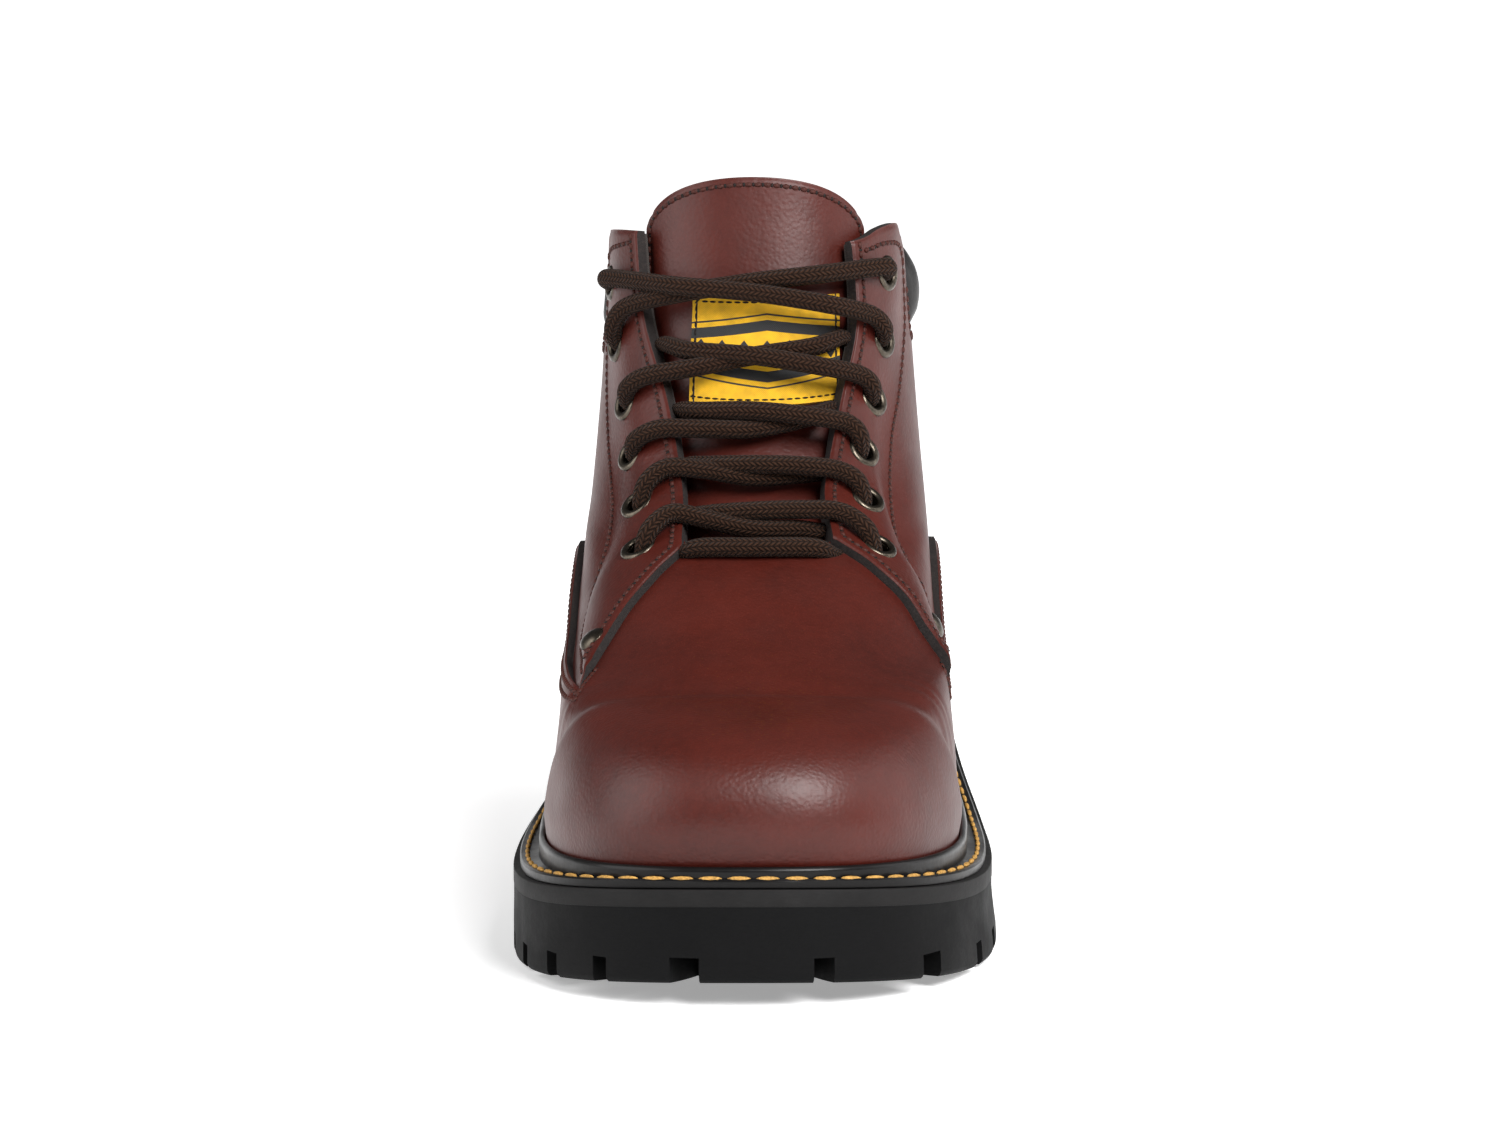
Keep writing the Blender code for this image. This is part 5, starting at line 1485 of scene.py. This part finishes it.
# How far up its climb each strand of a crossing is at its own facing's edge, halfway and on arrival: the
# medial strand, then the lateral one, by the crossing's lower eyelet
LACE_LEVELS = {1: ((0.66, 0.92, 1.05), (0.58, 0.90, 1.08)), 2: ((0.55, 0.88, 1.10), (0.60, 0.94, 1.15)),
               3: ((0.56, 0.70, 0.98), (0.74, 1.02, 1.12)), 4: ((0.80, 0.80, 0.86), (0.82, 0.98, 1.10)),
               5: ((0.82, 0.80, 0.78), (0.92, 1.02, 1.10))}


def lace_route(side, low, high, lift, closing, tree):
    """Up through a low eyelet, over its facing's edge, across the tongue and away under the other edge."""
    radius = sizes().lace_radius
    other = -side
    start_round, start_ring = EYELETS[side][low]
    end_round, end_ring = EYELETS[other][high]
    climb = end_ring + 0.03 - start_ring
    own, halfway, arrival = LACE_LEVELS[low][0 if side < 0 else 1]
    edge_ring, middle_ring, far_ring = (start_ring + climb * level for level in (own, halfway, arrival))
    edge, far_edge = throat_at(side, edge_ring), throat_at(other, end_ring)
    down_ring = (middle_ring + far_ring) / 2
    out = on_last(side * start_round, start_ring, 0.0, True)[1]
    end_out = on_last(other * end_round, end_ring, 0.0, True)[1]

    def near(share, ring, off):
        return facing_spot(tree, side, start_round + (edge - start_round) * share, ring, off)

    def far(share):
        return far_edge + (end_round - far_edge) * share

    seat = near(0.0, start_ring, 0.0)
    rows = [(seat - out * 5.0 * MM, 0.8), (seat - out * 1.5 * MM, 0.92),
            (near(0.10, start_ring + climb * 0.06, 0) + out * 1.9 * MM, 1.0),
            (near(0.40, start_ring + climb * own * 0.42, radius + 0.3 * MM), 1.0),
            (near(0.86, start_ring + climb * own * 0.84, radius + 0.2 * MM), 1.0),
            (on_last(side * edge * 0.60, edge_ring + (middle_ring - edge_ring) * 0.35,
                     radius + 0.2 * MM + lift * 0.7), 1.0),
            (on_last(0.0, middle_ring, radius - 2.0 * MM + lift), 1.0)]
    if closing:
        rows += [(on_last(other * far_edge * 0.55, down_ring, radius - 0.2 * MM + lift * 0.9), 1.0),
                 (facing_spot(tree, other, far(0.35), far_ring, radius + 0.3 * MM), 1.0),
                 (facing_spot(tree, other, far(0.74), end_ring + 0.06, radius - 0.2 * MM), 1.0),
                 (facing_spot(tree, other, end_round, end_ring, 0.2 * MM), 0.92),
                 (facing_spot(tree, other, end_round, end_ring, -4.5 * MM), 0.8)]
    else:
        rows += [(on_last(other * far_edge * 0.60, down_ring, radius - 2.4 * MM + lift * 0.45), 1.0),
                 (on_last(other * far_edge * 0.98, far_ring, -1.2 * MM), 0.86),
                 (on_last(other * far(0.35), end_ring, -WALL - 1.0 * MM), 0.5),
                 (on_last(other * far(0.80), end_ring, -WALL - 1.0 * MM), 0.45),
                 (facing_spot(tree, other, end_round, end_ring, 0.0) - end_out * 5.4 * MM, 0.7)]
    return [row[0] for row in rows], [row[1] * radius for row in rows]


def build_laces():
    tree = surface_of(PIECES["quarter_medial"], PIECES["quarter_lateral"])
    pieces = []
    for number in range(5, 0, -1):
        parts = []
        for side, lift in ((-1, 0.2 * MM), (1, 3.6 * MM)):
            route, radii = lace_route(side, number, number - 1, lift, number == 1, tree)
            parts.append(braid_tube("lace_part", route, radii))
        pieces.append((joined("lace_pair_%d" % number, parts), "lace_cross_%d" % number))
    radius = sizes().lace_radius
    route, radii = [], []
    for side in (-1, 1):
        rounds, ring = EYELETS[side][5]
        edge = throat_at(side, 10.1)
        seat = facing_spot(tree, side, rounds, ring, 0.0)
        out = on_last(side * rounds, ring, 0.0, True)[1]
        half = [(seat - out * 5.4 * MM, 0.6), (on_last(side * edge * 1.3, ring + 0.18, -0.4 * MM), 0.3),
                (on_last(side * edge * 1.02, ring + 0.20, 1.5 * MM), 0.7),
                (on_last(side * edge * 0.70, ring + 0.22, radius + LEATHER - 0.2 * MM), 1.0)]
        if side > 0:
            half = half[::-1]
        route += [row[0] for row in half]
        radii += [row[1] * radius for row in half]
        if side < 0:
            route.append(on_last(0.0, ring + 0.26, radius + LEATHER + 0.2 * MM))
            radii.append(radius)
    pieces.append((braid_tube("lace_bottom_bar", route, radii), "lace_bar"))
    return pieces


# Stage

def build_stage():
    material, tree, shader = new_material("pale_floor", (0.86, 0.86, 0.86), 0.8, Specular_IOR_Level=0.1,
                                          Emission_Color=(1.0, 1.0, 1.0, 1.0), Emission_Strength=0.30)
    grain = noise(tree, object_coordinates(tree), 3.0, 2.0)
    pale = ramp(tree, grain, [(0.3, (0.855, 0.855, 0.855)), (0.7, (0.865, 0.865, 0.865))])
    tree.links.new(pale, shader.inputs["Base Color"])
    # Painted light: the floor and backdrop glow, faintly in front of the boot, more under it and fully behind
    # it, which whitens the backdrop and lights the boot and its shadow from below.
    along = put(tree, "ShaderNodeSeparateXYZ", {0: object_coordinates(tree)}).outputs["Y"]
    behind = arithmetic(tree, "ADD", along, 0.35)
    tree.links.new(grey_ramp(tree, behind, 0.22, 1.0, 0.10, 0.90), shader.inputs["Emission Strength"])
    front, back, half_width, bend = -5.0, 3.0, 7.0, 3.0
    profile = [(front, 0.0), (back, 0.0)]
    profile += [(back + bend * math.sin(turn), bend - bend * math.cos(turn))
                for turn in np.linspace(0.05, 0.75, 10)]
    points = [(side * half_width, along, up) for along, up in profile for side in (-1, 1)]
    faces = [(2 * step, 2 * step + 1, 2 * step + 3, 2 * step + 2) for step in range(len(profile) - 1)]
    add_mesh("floor", points, faces, [material], 80)
    world = bpy.data.worlds.new("studio")
    world.use_nodes = True
    background = world.node_tree.nodes["Background"]
    background.inputs["Color"].default_value = (1.0, 1.0, 1.0, 1.0)
    background.inputs["Strength"].default_value = sizes().room_light
    bpy.context.scene.world = world
    for name, place, aim, width, power in LAMPS:
        lamp = bpy.data.lights.new(name, "AREA")
        lamp.shape = "DISK"
        lamp.size = width
        lamp.energy = power
        item = linked(name, lamp)
        item.location = place
        item.rotation_euler = (Vector(aim) - Vector(place)).to_track_quat("-Z", "Y").to_euler()


def build_camera():
    camera = bpy.data.cameras.new("camera")
    camera.sensor_width = 36.0
    camera.lens = LENS
    camera.clip_start = 0.05
    item = linked("camera", camera)
    item.location = CAMERA_PLACE
    item.rotation_euler = (math.radians(90 - CAMERA_TILT), 0.0, 0.0)
    bpy.context.scene.camera = item
    bpy.context.scene.view_settings.view_transform = "Standard"


# Add-on

def length_of(name, description, default, least=0.0):
    return FloatProperty(name=name, description=description, default=default, min=least,
                         subtype="DISTANCE", unit="LENGTH")


def colour_of(name, what, default):
    return FloatVectorProperty(name=name, description="Colour of the " + what, default=default, size=3,
                               min=0, max=1, subtype="COLOR")


class BootSizes(bpy.types.PropertyGroup):
    flap_edge: length_of(
        "Flap edge", "How far the flap's lower edge stands off the vamp beyond its leather", 1.0 * MM)
    stitch_spacing: length_of(
        "Stitch spacing", "Distance from stitch to stitch on the upper", 2.5 * MM, 0.5 * MM)
    stitch_inset: length_of("Stitch inset", "Distance of the throat row from its edge", 2.6 * MM)
    welt_stitch: length_of("Welt stitch", "Distance from stitch to stitch on the welt", 6.7 * MM, 1 * MM)
    lace_radius: length_of("Lace radius", "Half the thickness of the round lace", 2.5 * MM, 0.5 * MM)
    eyelet_radius: length_of("Eyelet radius", "Outer radius of the eyelets' flange", 4.9 * MM, 2 * MM)
    eyelet_bore: length_of("Eyelet bore", "Radius of the eyelets' hole", 2.6 * MM, 1 * MM)
    rivet_radius: length_of("Rivet radius", "Radius of the rivets' heads", 3.8 * MM, 1 * MM)
    collar_swell: length_of("Collar swell", "How far the padded collar swells outwards", 2.8 * MM)
    room_light: FloatProperty(name="Room light", description="Strength of the studio's surrounding light",
                              default=0.10, min=0)


class BootColours(bpy.types.PropertyGroup):
    leather: colour_of("Leather", "upper leather", (0.054, 0.0068, 0.0036))
    raw_edge: colour_of("Raw edge", "cut leather edges", (0.013, 0.0085, 0.0075))
    thread: colour_of("Thread", "thread on the upper", (0.050, 0.011, 0.007))
    welt_thread: colour_of("Welt thread", "thread on the welt", (0.46, 0.25, 0.06))
    rubber: colour_of("Rubber", "outsole", (0.0032, 0.0032, 0.0034))
    midsole: colour_of("Midsole", "midsole band", (0.013, 0.0125, 0.0125))
    welt: colour_of("Welt", "welt", (0.0055, 0.0050, 0.0050))
    metal: colour_of("Metal", "eyelets and rivets", (0.095, 0.080, 0.062))
    lace: colour_of("Lace", "lace", (0.028, 0.013, 0.0075))
    label: colour_of("Label", "tongue label's ground", (0.76, 0.41, 0.002))
    padding: colour_of("Padding", "padded collar", (0.009, 0.008, 0.008))
    lining: colour_of("Lining", "lining", (0.030, 0.024, 0.021))
    insole: colour_of("Insole", "insole's cover", (0.060, 0.045, 0.035))


class BootOperator:
    bl_options = {"REGISTER", "UNDO"}


class BOOT_OT_vamp(BootOperator, bpy.types.Operator):
    """Builds the vamp with its toe cap and wings"""
    bl_idname = "boot.vamp"
    bl_label = "Vamp"

    def execute(self, context):
        keep(build_vamp(), "leather", "upper")
        return {"FINISHED"}


class BOOT_OT_quarters(BootOperator, bpy.types.Operator):
    """Builds both quarters with their facings and eyelet holes"""
    bl_idname = "boot.quarters"
    bl_label = "Quarters"

    def execute(self, context):
        for side in (-1, 1):
            keep(build_quarter(side), "leather", "upper")
        return {"FINISHED"}


class BOOT_OT_heel(BootOperator, bpy.types.Operator):
    """Builds the heel counter and the backstay"""
    bl_idname = "boot.heel"
    bl_label = "Heel counter and backstay"

    def execute(self, context):
        keep(build_counter(), "leather", "upper")
        keep(build_backstay(), "leather", "upper")
        return {"FINISHED"}


class BOOT_OT_lining(BootOperator, bpy.types.Operator):
    """Builds the lining inside the upper"""
    bl_idname = "boot.lining"
    bl_label = "Lining"

    def execute(self, context):
        keep(build_lining(), "padding", "upper")
        return {"FINISHED"}


class BOOT_OT_tongue(BootOperator, bpy.types.Operator):
    """Builds the tongue and its woven label"""
    bl_idname = "boot.tongue"
    bl_label = "Tongue and label"

    def execute(self, context):
        keep(build_tongue(), "leather", "tongue")
        keep(build_label(), "label", "tongue_label")
        return {"FINISHED"}


class BOOT_OT_collar(BootOperator, bpy.types.Operator):
    """Builds the padded collar"""
    bl_idname = "boot.collar"
    bl_label = "Collar"

    def execute(self, context):
        keep(build_collar(), "padding", "collar")
        return {"FINISHED"}


class BOOT_OT_seams(BootOperator, bpy.types.Operator):
    """Sews the rows of stitches on the upper, tongue and label"""
    bl_idname = "boot.seams"
    bl_label = "Seams"

    def execute(self, context):
        for item, slot in zip(build_seams(), ("leather", "leather", "label")):
            keep(item, slot)
        return {"FINISHED"}


class BOOT_OT_fittings(BootOperator, bpy.types.Operator):
    """Sets the eyelets and rivets"""
    bl_idname = "boot.fittings"
    bl_label = "Eyelets and rivets"

    def execute(self, context):
        tree = surface_of(PIECES["quarter_medial"], PIECES["quarter_lateral"])
        size = sizes()
        places, outs = seats(EYELETS, tree)
        keep(repeated("eyelets", "eyelet", [places], finish_of("metal"), {"out": [outs]},
                      Outside=size.eyelet_radius, Bore=size.eyelet_bore), "metal",
             *["eyelet_%s_%d" % (SIDES[side], number) for side in (-1, 1) for number in range(1, 7)])
        places, outs = seats(RIVETS, tree)
        keep(repeated("rivets", "rivet", [places], finish_of("metal"), {"out": [outs]},
                      Radius=size.rivet_radius), "metal", "rivet_medial", "rivet_lateral")
        return {"FINISHED"}


class BOOT_OT_lace(BootOperator, bpy.types.Operator):
    """Threads the lace through the eyelets"""
    bl_idname = "boot.lace"
    bl_label = "Lace"

    def execute(self, context):
        for item, node in build_laces():
            keep(item, "lace", node)
        return {"FINISHED"}


class BOOT_OT_sole(BootOperator, bpy.types.Operator):
    """Builds the outsole, midsole, welt and welt stitches, and covers the insole"""
    bl_idname = "boot.sole"
    bl_label = "Sole"

    def execute(self, context):
        keep(build_outsole(), "rubber", "outsole")
        keep(build_midsole(), "midsole", "midsole")
        keep(build_welt(), "welt", "welt")
        keep(welt_stitches(), "welt")
        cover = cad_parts["insole"]
        if not cover.material_slots:
            raise RuntimeError("the insole has no material slot")
        for slot in cover.material_slots:
            slot.material = finish_of("insole")
        return {"FINISHED"}


class BOOT_OT_stage(BootOperator, bpy.types.Operator):
    """Builds the floor, lights and camera"""
    bl_idname = "boot.stage"
    bl_label = "Stage"

    def execute(self, context):
        build_stage()
        build_camera()
        return {"FINISHED"}


class BOOT_PT_panel(bpy.types.Panel):
    bl_idname = "BOOT_PT_panel"
    bl_label = "Work boot"
    bl_space_type = "VIEW_3D"
    bl_region_type = "UI"
    bl_category = "Work boot"

    def draw(self, context):
        for group in (context.scene.boot_sizes, context.scene.boot_colours):
            for label in group.bl_rna.properties.keys():
                if label not in ("rna_type", "name"):
                    self.layout.prop(group, label)
        for operator in OPERATORS:
            self.layout.operator(operator.bl_idname)


OPERATORS = (BOOT_OT_vamp, BOOT_OT_quarters, BOOT_OT_heel, BOOT_OT_lining, BOOT_OT_tongue, BOOT_OT_collar,
             BOOT_OT_seams, BOOT_OT_fittings, BOOT_OT_lace, BOOT_OT_sole, BOOT_OT_stage)
CLASSES = (BootSizes, BootColours, *OPERATORS, BOOT_PT_panel)


def register():
    for item in CLASSES:
        bpy.utils.register_class(item)
    bpy.types.Scene.boot_sizes = PointerProperty(type=BootSizes)
    bpy.types.Scene.boot_colours = PointerProperty(type=BootColours)


def unregister():
    del bpy.types.Scene.boot_colours
    del bpy.types.Scene.boot_sizes
    for item in reversed(CLASSES):
        bpy.utils.unregister_class(item)


def main():
    register()
    for operator in OPERATORS:
        group, name = operator.bl_idname.split(".")
        getattr(getattr(bpy.ops, group), name)()


if __name__ == "__main__":
    main()
